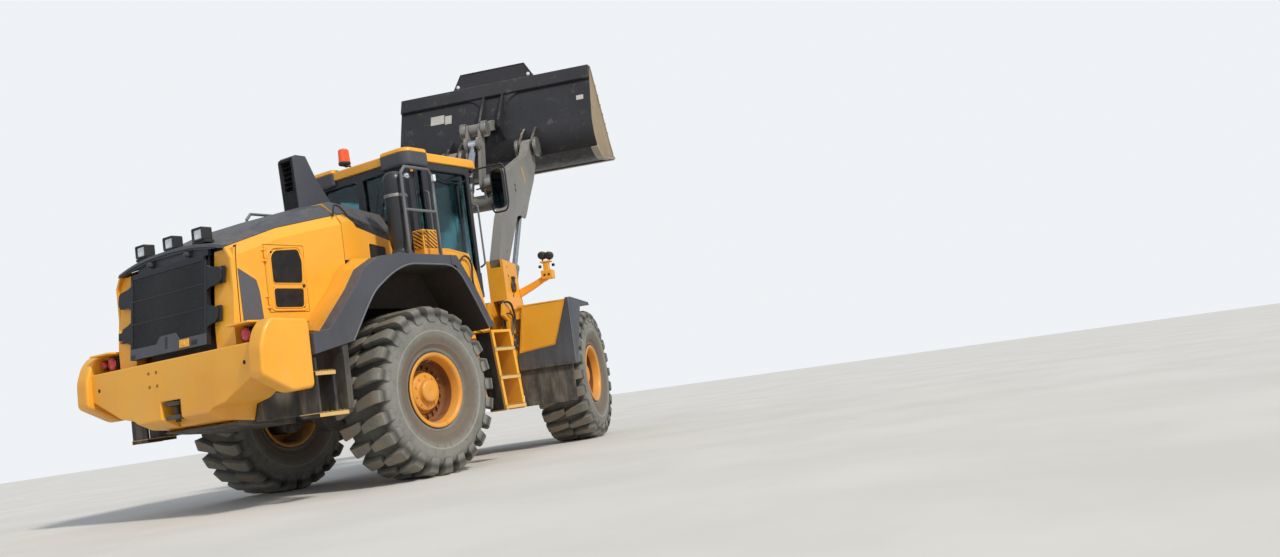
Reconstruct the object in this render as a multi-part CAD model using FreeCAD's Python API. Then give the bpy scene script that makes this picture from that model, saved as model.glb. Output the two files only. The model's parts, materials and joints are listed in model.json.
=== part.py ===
"""Articulated wheel loader with a raised boom: the solids of each piece, in millimetres.

Machine frame while modelling: origin on the ground below the articulation pin, +X forward along the
rear half, +Y left, +Z up. The front half is drawn straight ahead and then turned about the pin. At the
end the whole machine is shifted so that the centre of its base is the origin.
"""
import FreeCAD, Part
import math
import os

V = FreeCAD.Vector

# Stance
HALF_WHEELBASE = 1775.0
HALF_TRACK = 1140.0
STEER_REST = 20.8

# Tyres and rims
TYRE_RADIUS = 880.0
TYRE_WIDTH = 675.0
TYRE_SIDES = 20
SIDEWALL_RADIUS = 575.0
SHOULDER = (760.0, 318.0)
LUGS = 24
LUG_GROOVE = 12.0
LUG_ROOT_RADIUS = 815.0
LUG_FLAT_OUT = 262.0
LUG_END_RADII = (800.0, 775.0)
BEAD_RADIUS = 345.0
BEAD_HALF = 265.7
RIM_ROOM = 6.0
RIM_FLANGE_RADIUS = 392.0
RIM_FLANGE_OUT = 292.0
RIM_FLANGE_THICK = 26.0
RIM_WALL = 22.0
RIM_DISC_OUT = 70.0
RIM_DISC_IN = -5.0
HUB_RADIUS = 215.0
HUB_OUT = 190.0
HUB_CAP_RADIUS = 125.0
HUB_CAP_OUT = 235.0
HUB_BORE_END = 85.0
SPINDLE_RADIUS = 95.0
SPINDLE_TIP = 80.0

# Axles
AXLE_TUBE_RADIUS = 150.0
AXLE_BRAKE_RADIUS = 235.0
AXLE_BRAKE_LENGTH = 240.0
DIFF_RADIUS = 280.0
DIFF_LENGTH = 420.0
AXLE_SEAT_Z = 1115.0
AXLE_PAD_HALF_LENGTH = 150.0
REAR_PAD = (360.0, 60.0)
FRONT_PAD = (498.0, 27.0)

# Clearances
PIN_GAP = 0.3
SEAT_GAP = 0.3
SIDE_GAP = 5.0
DOOR_GAP = 6.0

# Articulation
TONGUE_LEVELS = (780.0, 1420.0)
TONGUE_THICK = 90.0
FORK_THICK = 40.0
PIVOT_PIN_RADIUS = 55.0

# Rear frame
CHASSIS_IN = 340.0
CHASSIS_OUT = 380.0
CHASSIS_TOP = 1560.0
CHASSIS_END = -3344.7
BALLAST_FRONT = -3345.0
BALLAST_TOP = 1500.0
HITCH_X = -3780.0
HITCH_PIN_RADIUS = 26.0
PLATE_BOLT_CENTRE = (230.0, 1335.0)
PLATE_BOLT_SPACING = (120.0, 130.0)
PLATE_BOLT_RADIUS = 9.0

# Front frame and boom linkage, front half drawn straight ahead
TOWER_IN = 490.0
TOWER_OUT = 680.0
TOWER_PLATE = 35.0
BOOM_PIVOT = (850.0, 2150.0)
BOOM_LENGTH = 3090.0
LIFT_REST = 48.7
ARM_IN = 530.0
ARM_OUT = 670.0
ARM_EYE_HALF_GAP = 42.0
BOOM_PIN_RADIUS = 62.0
BUCKET_PIN_RADIUS = 55.0
LIFT_BASE = (640.0, 1380.0)
LIFT_PIN_RADIUS = 50.0
LIFT_EYE_ON_BOOM = (1700.0, -90.0)
LIFT_BARREL = (66.0, 38.0, 80.0, 1350.0)
LIFT_ROD_INSIDE = 1000.0
CROSS_TUBE_ON_BOOM = (1900.0, 0.0)
CROSS_TUBE_RADIUS = 120.0
LEVER_PIVOT_ON_BOOM = (2043.0, 226.0)
LEVER_TOP = (2269.0, 4730.0)
LEVER_EYE = (2108.0, 4467.0)
LEVER_IN = 75.0
LEVER_OUT = 115.0
LEVER_LUG_THICK = 40.0
LEVER_WEB = (76.0, 98.0)
# Caps and hubs on the linkage pins: radius, thickness
LEVER_HUB = (140.0, 130.0)
LINK_PIN_CAP = (120.0, 85.0)
TILT_PIN_CAP = (140.0, 85.0)
BUCKET_PIN_CAP = (150.0, 50.0)
LEVER_PIN_RADIUS = 48.0
LINK_PIN_RADIUS = 42.0
TILT_BASE = (811.0, 2406.0)
TILT_PIN_RADIUS = 45.0
TILT_LUG_IN = 65.0
TILT_LUG_THICK = 40.0
TILT_BARREL = (85.0, 50.0, 200.0, 1450.0)
TILT_ROD_INSIDE = 900.0
BUCKET_REST = 10.0
BUCKET_HALF_WIDTH = 1600.0
LINK_ON_BUCKET = (280.0, 470.0)
BUCKET_EAR = 40.0
LINK_EAR = (140.0, 175.0)

# Steering cylinders, rear pin and front pin of the left one
STEER_Z = 1130.0
STEER_REAR_PIN = (-760.0, 500.0)
STEER_FRONT_PIN = (250.0, 340.0)
STEER_BARREL = (55.0, 27.0, 100.0, 700.0)
STEER_PIN_RADIUS = 35.0
STEER_EYE_HALF = 30.0
STEER_LUG_THICK = 30.0
STEER_SHORTEST = 759.0
STEER_BORE_START = 115.0
STEER_LUGS = (STEER_Z - STEER_EYE_HALF - SIDE_GAP - STEER_LUG_THICK, STEER_Z + STEER_EYE_HALF + SIDE_GAP)

# Hood
HOOD_HALF_WIDTH = 900.0
HOOD_BOTTOM = 1710.0
SHEET = 25.0
HOOD_BEVEL = 110.0
HOOD_SHOULDER_IN = 70.0
# Stations: x, shoulder z, crown z
HOOD_STATIONS = [(-3715.0, 2430.0, 2520.0), (-3110.0, 2640.0, 2790.0), (-2335.0, 2815.0, 3010.0)]
# Stations: x, half width, shoulder z, crown z
COWL_STATIONS = [(-2325.0, 900.0, 2817.0, 3012.0), (-2200.0, 880.0, 2845.0, 3040.0),
                 (-1300.0, 700.0, 2690.0, 2990.0)]
HOOD_AXIS = (-3725.0, 2460.0)
HOOD_HINGE_PIN = 12.0
HOOD_LUG = (280.0, 300.0)
HOOD_BRACKETS = ((262.0, 276.0), (304.0, 318.0))
SERVICE_REAR = -3340.0
SERVICE_FRONT = -2860.0
SERVICE_LOW = 1800.0
SERVICE_HIGH = 2460.0
SERVICE_VENTS = [(1840.0, 2040.0), (2085.0, 2420.0)]
VENT_PITCH = 42.0
VENT_SLAT = 22.0
GRILLE_FOOT = (-3770.0, 1530.0)
GRILLE_LEAN = 90.0 / 860.0
GRILLE_FRONT = -10.0
GRILLE_THICK = 45.0
GRILLE_TABS = ((1750.0, 1900.0, 760.0), (2100.0, 2260.0, 810.0))
GRILLE_AXIS_BACK = 26.0
GRILLE_AXIS_Y = 825.0
DECK_LOW = 2300.0
DECK_TOP = 2330.0

# Hinges of doors
HINGE_PIN = 8.0
HINGE_RING = 14.0
HINGE_LENGTH = 130.0
HINGE_BOSS = 25.0
HINGE_LEAF = 8.0
HINGE_PROUD = 16.0

# Cab
CAB_HALF_WIDTH = 780.0
CAB_REAR = -1120.0
CAB_FLOOR = 1950.0
CAB_EAVES = 3560.0
CAB_WALL = 60.0
CAB_FRONT_CORNER = -50.0
CAB_NOSE = 110.0
CAB_NOSE_HALF = 480.0
WINDOW_HIGH = 3470.0
ROOF_THICK = 110.0
DOOR_REAR = -830.0
DOOR_FRONT = -70.0
DOOR_LOW = CAB_FLOOR + CAB_WALL + 20
DOOR_HIGH = 3490.0
DOOR_STILE = 75.0
DOOR_GLASS_LOW = DOOR_LOW + 180
DOOR_GLASS_HIGH = 3420.0
DOOR_THICK = 50.0
PANE = 8.0
REAR_WINDOWS = ((-640.0, -40.0), (40.0, 640.0))
REAR_WINDOW_LOW = 2750.0
FRONT_WINDOW_HALF = 430.0
FRONT_WINDOW_LOW = 2250.0
QUARTER_WINDOW = (CAB_REAR + 90, DOOR_REAR - 70, 2650.0)
SIDE_WINDOW = (DOOR_REAR + 40, DOOR_FRONT - 50, 2250.0)

# Mirrors: places of the left one, sizes across, through and up
MIRROR_FOOT_Y = 760.0
MIRROR_PLACE = (95.0, 1100.0)
MIRROR_SIZE = (190.0, 70.0, 500.0)
MIRROR_ARM_DROP = 40.0
MIRROR_ARM_RADIUS = 14.0

# Fenders and trims
FENDER_IN = 912.0
FENDER_OUT = 1300.0
TRIM_OUT = 1460.0
PLATFORM_Z = 2310.0
# Outlines in the XZ plane, from the rear foot to the front foot
ARCH = [(-2860, 1430), (-2640, 1750), (-2510, 1920), (-2230, 2110), (-1990, 2200), (-1280, 2200),
        (-1060, 1870), (-850, 1500)]
ARCH_TOP = [(-3130, 1560), (-2760, 1960), (-2620, 2150), (-2400, 2270), (-2100, PLATFORM_Z),
            (-1250, PLATFORM_Z), (-960, 1890), (-760, 1520)]
FRONT_FENDER_OUT = 1450.0
FRONT_TRIM_OUT = 1490.0


def prism(points, axis, low, high):
    """A flat outline pushed along axis X, Y or Z from low to high."""
    if axis == "x":
        corners = [V(low, a, b) for a, b in points]
        push = V(high - low, 0, 0)
    elif axis == "y":
        corners = [V(a, low, b) for a, b in points]
        push = V(0, high - low, 0)
    else:
        corners = [V(a, b, low) for a, b in points]
        push = V(0, 0, high - low)
    face = Part.Face(Part.makePolygon(corners + [corners[0]]))
    return face.extrude(push)


def skin(sections):
    """A ruled solid through closed outlines given as lists of points."""
    wires = [Part.makePolygon([V(*p) for p in s] + [V(*s[0])]) for s in sections]
    return Part.makeLoft(wires, True, True)


def flat_sided(sections):
    """A solid with flat faces through closed outlines whose like sides are parallel."""
    rows = [[V(*p) for p in s] for s in sections]
    outlines = [rows[0], rows[-1]]
    for a, b in zip(rows, rows[1:]):
        for k in range(len(a)):
            outlines.append([a[k - 1], a[k], b[k], b[k - 1]])
    shell = Part.Shell([Part.Face(Part.makePolygon(o + o[:1])) for o in outlines])
    solid = Part.Solid(shell)
    return solid if solid.Volume > 0 else solid.reversed()


def box(x0, x1, y0, y1, z0, z1):
    return Part.makeBox(x1 - x0, y1 - y0, z1 - z0, V(x0, y0, z0))


def rod(start, end, radius):
    start, end = V(*start), V(*end)
    return Part.makeCylinder(radius, (end - start).Length, start, end - start)


def tube_path(points, radius):
    """A bent tube: straight runs with a ball at each bend."""
    runs = [rod(a, b, radius) for a, b in zip(points, points[1:])]
    bends = [Part.makeSphere(radius, V(*p)) for p in points[1:-1]]
    return join(runs + bends)


def join(shapes):
    result = shapes[0]
    if len(shapes) > 1:
        result = shapes[0].fuse(shapes[1:])
    return result.removeSplitter()


def mirrored(shape):
    return shape.mirror(V(0, 0, 0), V(0, 1, 0))


def both(shape):
    return [shape, mirrored(shape)]


def group(shapes):
    return Part.makeCompound(shapes)


def leaf(start, reach, z0, z1):
    """A hinge leaf from radius start out to the point reach = (dx, dy), about the Z axis."""
    dx, dy = reach
    flat = box(start, math.hypot(dx, dy), -HINGE_LEAF / 2, HINGE_LEAF / 2, z0, z1)
    return turned(flat, (0, 0, 0), (0, 0, 1), math.degrees(math.atan2(dy, dx)))


def hinge(fixed_reach, moving_reach, length=HINGE_LENGTH):
    """Fixed half (pin, two end bosses, leaves) and moving half (ring, leaf) of a hinge on the Z axis."""
    low, high = HINGE_BOSS + SIDE_GAP, length - HINGE_BOSS - SIDE_GAP
    fixed = [Part.makeCylinder(HINGE_PIN, length)]
    for z0 in (0, length - HINGE_BOSS):
        fixed += [Part.makeCylinder(HINGE_RING, HINGE_BOSS, V(0, 0, z0)),
                  leaf(0, fixed_reach, z0, z0 + HINGE_BOSS)]
    ring = Part.makeCylinder(HINGE_RING, high - low, V(0, 0, low))
    ring = ring.cut(Part.makeCylinder(HINGE_PIN + PIN_GAP, length))
    return join(fixed), ring.fuse(leaf(HINGE_PIN + PIN_GAP + 2, moving_reach, low, high))


def moved(shape, x, y, z):
    copy = shape.copy()
    copy.translate(V(x, y, z))
    return copy


def turned(shape, point, axis, degrees):
    copy = shape.copy()
    copy.rotate(V(*point), V(*axis), degrees)
    return copy


def boom_point(local, angle=LIFT_REST):
    """A point given along and across the boom line, as (x, z) of the straight front half."""
    a = math.radians(angle)
    x = BOOM_PIVOT[0] + local[0] * math.cos(a) - local[1] * math.sin(a)
    z = BOOM_PIVOT[1] + local[0] * math.sin(a) + local[1] * math.cos(a)
    return (x, z)


def on_boom(shape):
    """Places a shape drawn along the boom line (x) and across it (z)."""
    lifted = turned(shape, (0, 0, 0), (0, 1, 0), -LIFT_REST)
    return moved(lifted, BOOM_PIVOT[0], 0, BOOM_PIVOT[1])


BUCKET_PIN = boom_point((BOOM_LENGTH, 0))
LEVER_PIN = boom_point(LEVER_PIVOT_ON_BOOM)
LIFT_EYE = boom_point(LIFT_EYE_ON_BOOM)


def bucket_point(local):
    a = math.radians(BUCKET_REST)
    x = BUCKET_PIN[0] + local[0] * math.cos(a) - local[1] * math.sin(a)
    z = BUCKET_PIN[1] + local[0] * math.sin(a) + local[1] * math.cos(a)
    return (x, z)


LINK_EYE = bucket_point(LINK_ON_BUCKET)


def ring(reach, y, sides=TYRE_SIDES):
    """Regular outline about the Y axis: its flat sides are at the given reach, one of them at the bottom."""
    step = 2 * math.pi / sides
    radius = reach / math.cos(step / 2)
    return [(radius * math.sin((k + 0.5) * step), y, -radius * math.cos((k + 0.5) * step)) for k in range(sides)]


def lug_outline(turn, tip, root, y):
    """Outline of one row of lugs, each as wide as a gap, the first turned by a share of the pitch from the bottom."""
    corners = []
    for k in range(LUGS):
        for side, radius in ((-0.25, root), (-0.25, tip), (0.25, tip), (0.25, root)):
            a = (k + turn + side) * 2 * math.pi / LUGS
            corners.append((radius * math.sin(a), y, -radius * math.cos(a)))
    return corners


def tyre():
    """Tyre about the Y axis, outer side at +Y: a many-sided casing and two rows of lugs, half a pitch apart."""
    half = TYRE_WIDTH / 2
    radius, side = SHOULDER
    casing = flat_sided([ring(SIDEWALL_RADIUS, half), ring(radius, side), ring(radius, -side),
                         ring(SIDEWALL_RADIUS, -half)])
    dish, past = RIM_FLANGE_RADIUS + RIM_ROOM, 40
    rim_side = half + past * (half - BEAD_HALF) / (SIDEWALL_RADIUS - dish)
    hollows = [flat_sided([ring(dish, s * BEAD_HALF), ring(SIDEWALL_RADIUS + past, s * rim_side)]) for s in (-1, 1)]
    hollows.append(flat_sided([ring(BEAD_RADIUS, -half), ring(BEAD_RADIUS, half)]))
    flat = math.cos(math.pi / (2 * LUGS))
    tip, start = TYRE_RADIUS / flat, LUG_GROOVE / 2
    rows = [flat_sided([ring(LUG_ROOT_RADIUS * flat, y, 2 * LUGS) for y in (-start, start)])]
    for s, turn in ((1, 0.0), (-1, 0.5)):
        rows.append(flat_sided([lug_outline(turn, tip, LUG_ROOT_RADIUS, s * start),
                                lug_outline(turn, tip, LUG_ROOT_RADIUS, s * LUG_FLAT_OUT),
                                lug_outline(turn, *LUG_END_RADII, s * side)]))
    return casing.fuse(rows).cut(hollows[0].fuse(hollows[1:])).removeSplitter()


def rim():
    """Rim about the Y axis with its dish open towards +Y, hub cap included."""
    seat = BEAD_RADIUS - SEAT_GAP
    inside = seat - RIM_WALL
    flange_in = RIM_FLANGE_OUT - RIM_FLANGE_THICK
    out = [(inside, RIM_FLANGE_OUT - 70), (RIM_FLANGE_RADIUS - 34, RIM_FLANGE_OUT),
           (RIM_FLANGE_RADIUS, RIM_FLANGE_OUT), (RIM_FLANGE_RADIUS, flange_in), (seat, flange_in)]
    bore = SPINDLE_RADIUS + PIN_GAP
    disc = [(inside, RIM_DISC_IN + 30), (HUB_RADIUS, RIM_DISC_IN), (bore, RIM_DISC_IN), (bore, HUB_BORE_END),
            (0, HUB_BORE_END), (0, HUB_CAP_OUT), (HUB_CAP_RADIUS - 20, HUB_CAP_OUT),
            (HUB_CAP_RADIUS, HUB_CAP_OUT - 20), (HUB_CAP_RADIUS, HUB_OUT), (HUB_RADIUS, HUB_OUT - 25),
            (HUB_RADIUS, RIM_DISC_OUT), (inside, RIM_DISC_OUT)]
    outline = out + [(r, -y) for r, y in reversed(out)] + disc
    face = Part.Face(Part.makePolygon([V(r, y, 0) for r, y in outline + outline[:1]]))
    return face.revolve(V(0, 0, 0), V(0, 1, 0), 360)


def axle(x, pad):
    """Axle housing with its differential bulge, brake ends, spindles and frame seats at pad = (y, half width)."""
    z = TYRE_RADIUS
    spindle_in = HALF_TRACK + RIM_DISC_IN - SIDE_GAP
    end = spindle_in - 30
    pieces = [rod((x, -end, z), (x, end, z), AXLE_TUBE_RADIUS),
              rod((x, -DIFF_LENGTH / 2, z), (x, DIFF_LENGTH / 2, z), DIFF_RADIUS),
              rod((x - DIFF_RADIUS - 90, 0, z), (x + DIFF_RADIUS + 90, 0, z), 120)]
    for s in (-1, 1):
        pieces.append(rod((x, s * (end - AXLE_BRAKE_LENGTH), z), (x, s * end, z), AXLE_BRAKE_RADIUS))
        pieces.append(rod((x, s * (end - 5), z), (x, s * (HALF_TRACK + SPINDLE_TIP), z), SPINDLE_RADIUS))
        y, half = pad
        pieces.append(box(x - AXLE_PAD_HALF_LENGTH, x + AXLE_PAD_HALF_LENGTH, s * y - half, s * y + half,
                          z, AXLE_SEAT_Z - SEAT_GAP))
    return join(pieces)


def rear_chassis():
    """Two long plates, cross plates, a belly plate, the hinge tongues and the steering cylinder lugs."""
    top = CHASSIS_TOP
    side = prism([(-600, 780), (-600, 1520), (-680, top), (-1380, top), (-1500, 1330), (-2050, 1330),
                  (-2300, top), (CHASSIS_END, top), (CHASSIS_END, 900), (-2200, 900), (-2050, AXLE_SEAT_Z),
                  (-1500, AXLE_SEAT_Z), (-1300, 820)], "y", CHASSIS_IN, CHASSIS_OUT)
    pieces = both(side)
    for x0, x1, z0, z1 in ((-640, -600, 780, 1520), (-1230, -1190, 820, 1500), (-2400, -2360, 920, 1540)):
        pieces.append(box(x0, x1, -CHASSIS_IN - 1, CHASSIS_IN + 1, z0, z1))
    for z0 in TONGUE_LEVELS:
        plate = prism([(-640, -380), (-600, -380), (-180, -200), (-60, -150), (0, -150), (0, 150), (-60, 150),
                       (-180, 200), (-600, 380), (-640, 380)], "z", z0, z0 + TONGUE_THICK)
        pieces.append(plate.fuse(Part.makeCylinder(150, TONGUE_THICK, V(0, 0, z0))))
    pieces.append(box(-3300, -2800, -CHASSIS_IN - 1, CHASSIS_IN + 1, 900, 930))
    pieces.append(box(CHASSIS_END, CHASSIS_END + 40, -500, 500, 900, top))
    x, y = STEER_REAR_PIN
    for s in (-1, 1):
        for z0 in STEER_LUGS:
            pieces.append(box(x - 60, x + 60, min(s * (CHASSIS_OUT - 1), s * (y + 20)),
                              max(s * (CHASSIS_OUT - 1), s * (y + 20)), z0, z0 + STEER_LUG_THICK))
            pieces.append(Part.makeCylinder(60, STEER_LUG_THICK, V(x, s * (y + 20), z0)))
        pieces.append(Part.makeCylinder(STEER_PIN_RADIUS, STEER_LUGS[1] - STEER_LUGS[0] + STEER_LUG_THICK + 20,
                                        V(x, s * y, STEER_LUGS[0] - 10)))
    frame = join(pieces)
    hole = Part.makeCylinder(PIVOT_PIN_RADIUS + PIN_GAP, 2000, V(0, 0, 300))
    return frame.cut(hole)


def front_chassis():
    """Front frame: hinge forks, side plates over the axle, the tower and the pivot pins."""
    pieces = []
    for z0 in TONGUE_LEVELS:
        for low in (z0 - SIDE_GAP - FORK_THICK, z0 + TONGUE_THICK + SIDE_GAP):
            plate = prism([(520, -400), (180, -200), (60, -140), (0, -140), (0, 140), (60, 140),
                           (180, 200), (520, 400)], "z", low, low + FORK_THICK)
            pieces.append(plate.fuse(Part.makeCylinder(140, FORK_THICK, V(0, 0, low))))
        pieces.append(Part.makeCylinder(PIVOT_PIN_RADIUS, TONGUE_THICK + 2 * (SIDE_GAP + FORK_THICK) + 30,
                                        V(0, 0, z0 - SIDE_GAP - FORK_THICK - 15)))
    tower = [(480, 700), (480, 1690), (300, 1750), (370, 1920), (540, 1960), (540, 2500), (1090, 2480),
             (1140, 2150), (1230, 1940)]
    inner = prism(tower + [(1500, 1500), (2180, 1250), (2180, AXLE_SEAT_Z), (1400, AXLE_SEAT_Z), (1300, 800),
                           (900, 700)], "y", TOWER_IN, TOWER_IN + TOWER_PLATE)
    outer = prism(tower + [(1400, 1640), (1400, 1180), (1000, 1080), (900, 700)], "y",
                  TOWER_OUT, TOWER_OUT + TOWER_PLATE)
    window = rod((620, 0, 1770), (620, 2000, 1770), 60).fuse(rod((705, 0, 2400), (705, 2000, 2400), 22))
    pieces += both(inner) + both(outer.cut(window))
    edge = TOWER_OUT + TOWER_PLATE
    pieces += both(box(540, 575, TOWER_IN, edge, 1960, 2400))
    pieces += both(box(480, 520, TOWER_IN, edge, 700, 1560))
    for x0, x1, z0, z1 in ((480, 520, 700, 1600), (1250, 1290, 1120, 1640), (2140, 2180, AXLE_SEAT_Z, 1250),
                           (540, 575, 1590, 1960)):
        pieces.append(box(x0, x1, -TOWER_IN - 1, TOWER_IN + 1, z0, z1))
    pieces.append(box(500, 1270, -TOWER_IN - 1, TOWER_IN + 1, 1560, 1600))
    for (x, z), radius in ((BOOM_PIVOT, BOOM_PIN_RADIUS), (LIFT_BASE, LIFT_PIN_RADIUS)):
        for s in (-1, 1):
            pieces.append(rod((x, s * (TOWER_IN + 5), z), (x, s * (edge + 20), z), radius))
    fx, fz = TILT_BASE
    lug = prism([(560, 1590), (1250, 1590), (fx + 90, fz - 60), (fx + 65, fz + 55), (fx, fz + 90),
                 (fx - 65, fz + 55), (fx - 90, fz - 60)], "y", TILT_LUG_IN, TILT_LUG_IN + TILT_LUG_THICK)
    lug = lug.cut(rod((fx, 0, fz), (fx, 300, fz), TILT_PIN_RADIUS + PIN_GAP))
    pieces += both(lug)
    x, y = STEER_FRONT_PIN
    for z0 in STEER_LUGS:
        plate = prism([(x, y - 55), (x, y + 55), (490, y + 55), (490, y - 55)], "z", z0, z0 + STEER_LUG_THICK)
        pieces += both(plate.fuse(Part.makeCylinder(55, STEER_LUG_THICK, V(x, y, z0))))
    return join(pieces)


def boom():
    """Two bent arms joined by a cross tube that carries the lever; drawn along the boom line."""
    tip = BOOM_LENGTH
    outline = [(-130, -50), (-50, -130), (80, -110), (386, 130), (1330, 105), (1480, 0), (1610, -180), (1740, -200),
               (2030, -210), (2570, -260), (2920, -245), (tip + 90, -110), (tip + 125, 0), (tip + 90, 90),
               (tip - 40, 125), (2760, 126), (1625, 700), (1370, 680), (1190, 510), (840, 540), (90, 440),
               (-130, 50)]
    arm = prism(outline, "y", ARM_IN, ARM_OUT)
    middle = (ARM_IN + ARM_OUT) / 2
    eye_gap = prism([(1380, -400), (1380, 12), (1802, 12), (1802, -400)], "y",
                    middle - ARM_EYE_HALF_GAP, middle + ARM_EYE_HALF_GAP)
    slot = rod((1680, 0, 300), (1680, 900, 300), 35).fuse(rod((1730, 0, 345), (1730, 900, 345), 35))
    pieces = both(arm.cut(eye_gap).cut(slot))
    cx, cz = CROSS_TUBE_ON_BOOM
    pieces.append(rod((cx, -ARM_IN - 5, cz), (cx, ARM_IN + 5, cz), CROSS_TUBE_RADIUS))
    x, z = LEVER_PIVOT_ON_BOOM
    low = LEVER_OUT + SIDE_GAP
    pieces += both(bar_between(CROSS_TUBE_ON_BOOM, LEVER_PIVOT_ON_BOOM, low, low + LEVER_LUG_THICK, 115, 92))
    whole = join(pieces)
    holes = [rod((0, -900, 0), (0, 900, 0), BOOM_PIN_RADIUS + PIN_GAP),
             rod((tip, -900, 0), (tip, 900, 0), BUCKET_PIN_RADIUS + PIN_GAP),
             rod((x, -300, z), (x, 300, z), LEVER_PIN_RADIUS + PIN_GAP)]
    return whole.cut(holes[0].fuse(holes[1:]))


def bar_between(a, b, y0, y1, ra, rb, waist=1.0):
    """A flat bar in the XZ plane with round ends, from point a to point b."""
    ax, az = a
    bx, bz = b
    length = math.hypot(bx - ax, bz - az)
    nx, nz = -(bz - az) / length, (bx - ax) / length
    mid = ((ax + bx) / 2, (az + bz) / 2)
    rm = waist * (ra + rb) / 2
    outline = [(ax + nx * ra, az + nz * ra), (mid[0] + nx * rm, mid[1] + nz * rm), (bx + nx * rb, bz + nz * rb),
               (bx - nx * rb, bz - nz * rb), (mid[0] - nx * rm, mid[1] - nz * rm), (ax - nx * ra, az - nz * ra)]
    web = prism(outline, "y", y0, y1)
    return join([web, rod((ax, y0, az), (ax, y1, az), ra), rod((bx, y0, bz), (bx, y1, bz), rb)])


def lever():
    """Two plates joined by a web at their front; the tilt rod and its eye go between them."""
    x, z = LEVER_PIN
    ex, ez = LEVER_EYE
    tx, tz = LEVER_TOP
    plate = join([bar_between(LEVER_PIN, LEVER_TOP, LEVER_IN, LEVER_OUT, 105, 90, 1.1),
                  rod((ex, LEVER_IN, ez), (ex, LEVER_OUT, ez), 110),
                  rod((ex, LEVER_OUT - 1, ez), (ex, LEVER_OUT + 12, ez), 62)])
    nx, nz = tz - z, x - tx
    span = math.hypot(nx, nz)
    corners = []
    for share, off in ((0.17, LEVER_WEB[0]), (0.72, LEVER_WEB[0]), (0.72, LEVER_WEB[1]), (0.17, LEVER_WEB[1])):
        corners.append((x + share * (tx - x) + off * nx / span, z + share * (tz - z) + off * nz / span))
    web = prism(corners, "y", -LEVER_IN - 1, LEVER_IN + 1)
    whole = join(both(plate) + [web])
    holes = rod((x, -300, z), (x, 300, z), LEVER_PIN_RADIUS + PIN_GAP)
    return whole.cut(holes.fuse(rod((tx, -300, tz), (tx, 300, tz), LINK_PIN_RADIUS + PIN_GAP)))


def lever_stub():
    """Left half of the lever's pin, with its hub outside the boom's lug: it stops short of the tilt rod's way."""
    x, z = LEVER_PIN
    hub = LEVER_OUT + SIDE_GAP + LEVER_LUG_THICK + SIDE_GAP
    radius, thick = LEVER_HUB
    return join([rod((x, LEVER_IN, z), (x, hub + thick, z), LEVER_PIN_RADIUS),
                 rod((x, hub, z), (x, hub + thick, z), radius)])


def pin_across(point, half, radius):
    x, z = point
    return rod((x, -half, z), (x, half, z), radius)


def capped_pin(point, cap_start, cap, pin_radius):
    """A pin across the machine with a round cap at each end, from cap_start outwards."""
    x, z = point
    radius, thick = cap
    end = cap_start + thick
    return join([pin_across(point, end, pin_radius)] + both(rod((x, cap_start, z), (x, end, z), radius)))


def link():
    """Bar from the lever's top to the bucket's middle ears."""
    half = LEVER_IN - SIDE_GAP
    bar = bar_between(LEVER_TOP, LINK_EYE, -half, half, 85, 80, 0.8)
    return bar.cut(pin_across(LEVER_TOP, 300, LINK_PIN_RADIUS + PIN_GAP))


def bucket_pin():
    """Left bucket pin with a cap on each side of the bucket's two ears."""
    x, z = BUCKET_PIN
    radius, thick = BUCKET_PIN_CAP
    inner, outer = ARM_IN - BUCKET_EAR - 2 * SIDE_GAP, ARM_OUT + BUCKET_EAR + 2 * SIDE_GAP
    return join([rod((x, inner - thick, z), (x, outer + thick, z), BUCKET_PIN_RADIUS),
                 rod((x, inner - thick, z), (x, inner, z), radius), rod((x, outer, z), (x, outer + thick, z), radius)])


def bucket():
    """Bucket drawn level with its hinge pin at the origin: shell, sides, lip, spill guard and hinge ears."""
    outer = [(854, 1159), (535, 616), (356, 293), (345, 60), (430, -130), (608, -255), (808, -315), (1745, -325),
             (1745, -303), (1640, -270), (1560, -287)]
    inner = [(812, -287), (622, -228), (452, -112), (375, 68), (385, 283), (560, 600), (878, 1145)]
    shell = prism(outer + inner, "y", -BUCKET_HALF_WIDTH, BUCKET_HALF_WIDTH)
    side_line = [(854, 1159), (535, 616), (356, 293), (345, 60), (430, -130), (608, -255), (808, -315),
                 (1640, -315), (1640, -265), (1500, -60), (960, 1080), (900, 1159)]
    side = prism(side_line, "y", BUCKET_HALF_WIDTH - 30, BUCKET_HALF_WIDTH)
    pieces = [shell] + both(side)
    pieces.append(prism([(870, 1150), (745, 930), (700, 965), (825, 1180)], "y",
                        1 - BUCKET_HALF_WIDTH, BUCKET_HALF_WIDTH - 1))
    pieces.append(skin([[(835, -700, 1160), (835, 700, 1160), (865, 700, 1160), (865, -700, 1160)],
                        [(900, -540, 1420), (900, 540, 1420), (930, 540, 1420), (930, -540, 1420)]]))
    ear = prism([(-40, -100), (60, -110), (400, -180), (440, -120), (370, 60), (400, 300), (370, 330),
                 (180, 250), (-60, 95), (-110, 20), (-110, -30)], "y", 0, BUCKET_EAR)
    for y in (ARM_IN - SIDE_GAP - BUCKET_EAR, ARM_OUT + SIDE_GAP):
        pieces += both(moved(ear, 0, y, 0))
    kx, kz = LINK_ON_BUCKET
    pieces += both(prism([(kx - 95, kz - 40), (kx - 40, kz - 95), (360, 200), (400, 300), (560, 616), (820, 1100),
                          (760, 1040), (kx + 60, kz + 190), (kx - 70, kz + 70)], "y", *LINK_EAR))
    whole = pieces[0].fuse(pieces[1:])
    return whole.cut(rod((0, -900, 0), (0, 900, 0), BUCKET_PIN_RADIUS + PIN_GAP))


def placed_bucket(shape):
    tilted = turned(shape, (0, 0, 0), (0, 1, 0), -BUCKET_REST)
    return moved(tilted, BUCKET_PIN[0], 0, BUCKET_PIN[1])


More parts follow.
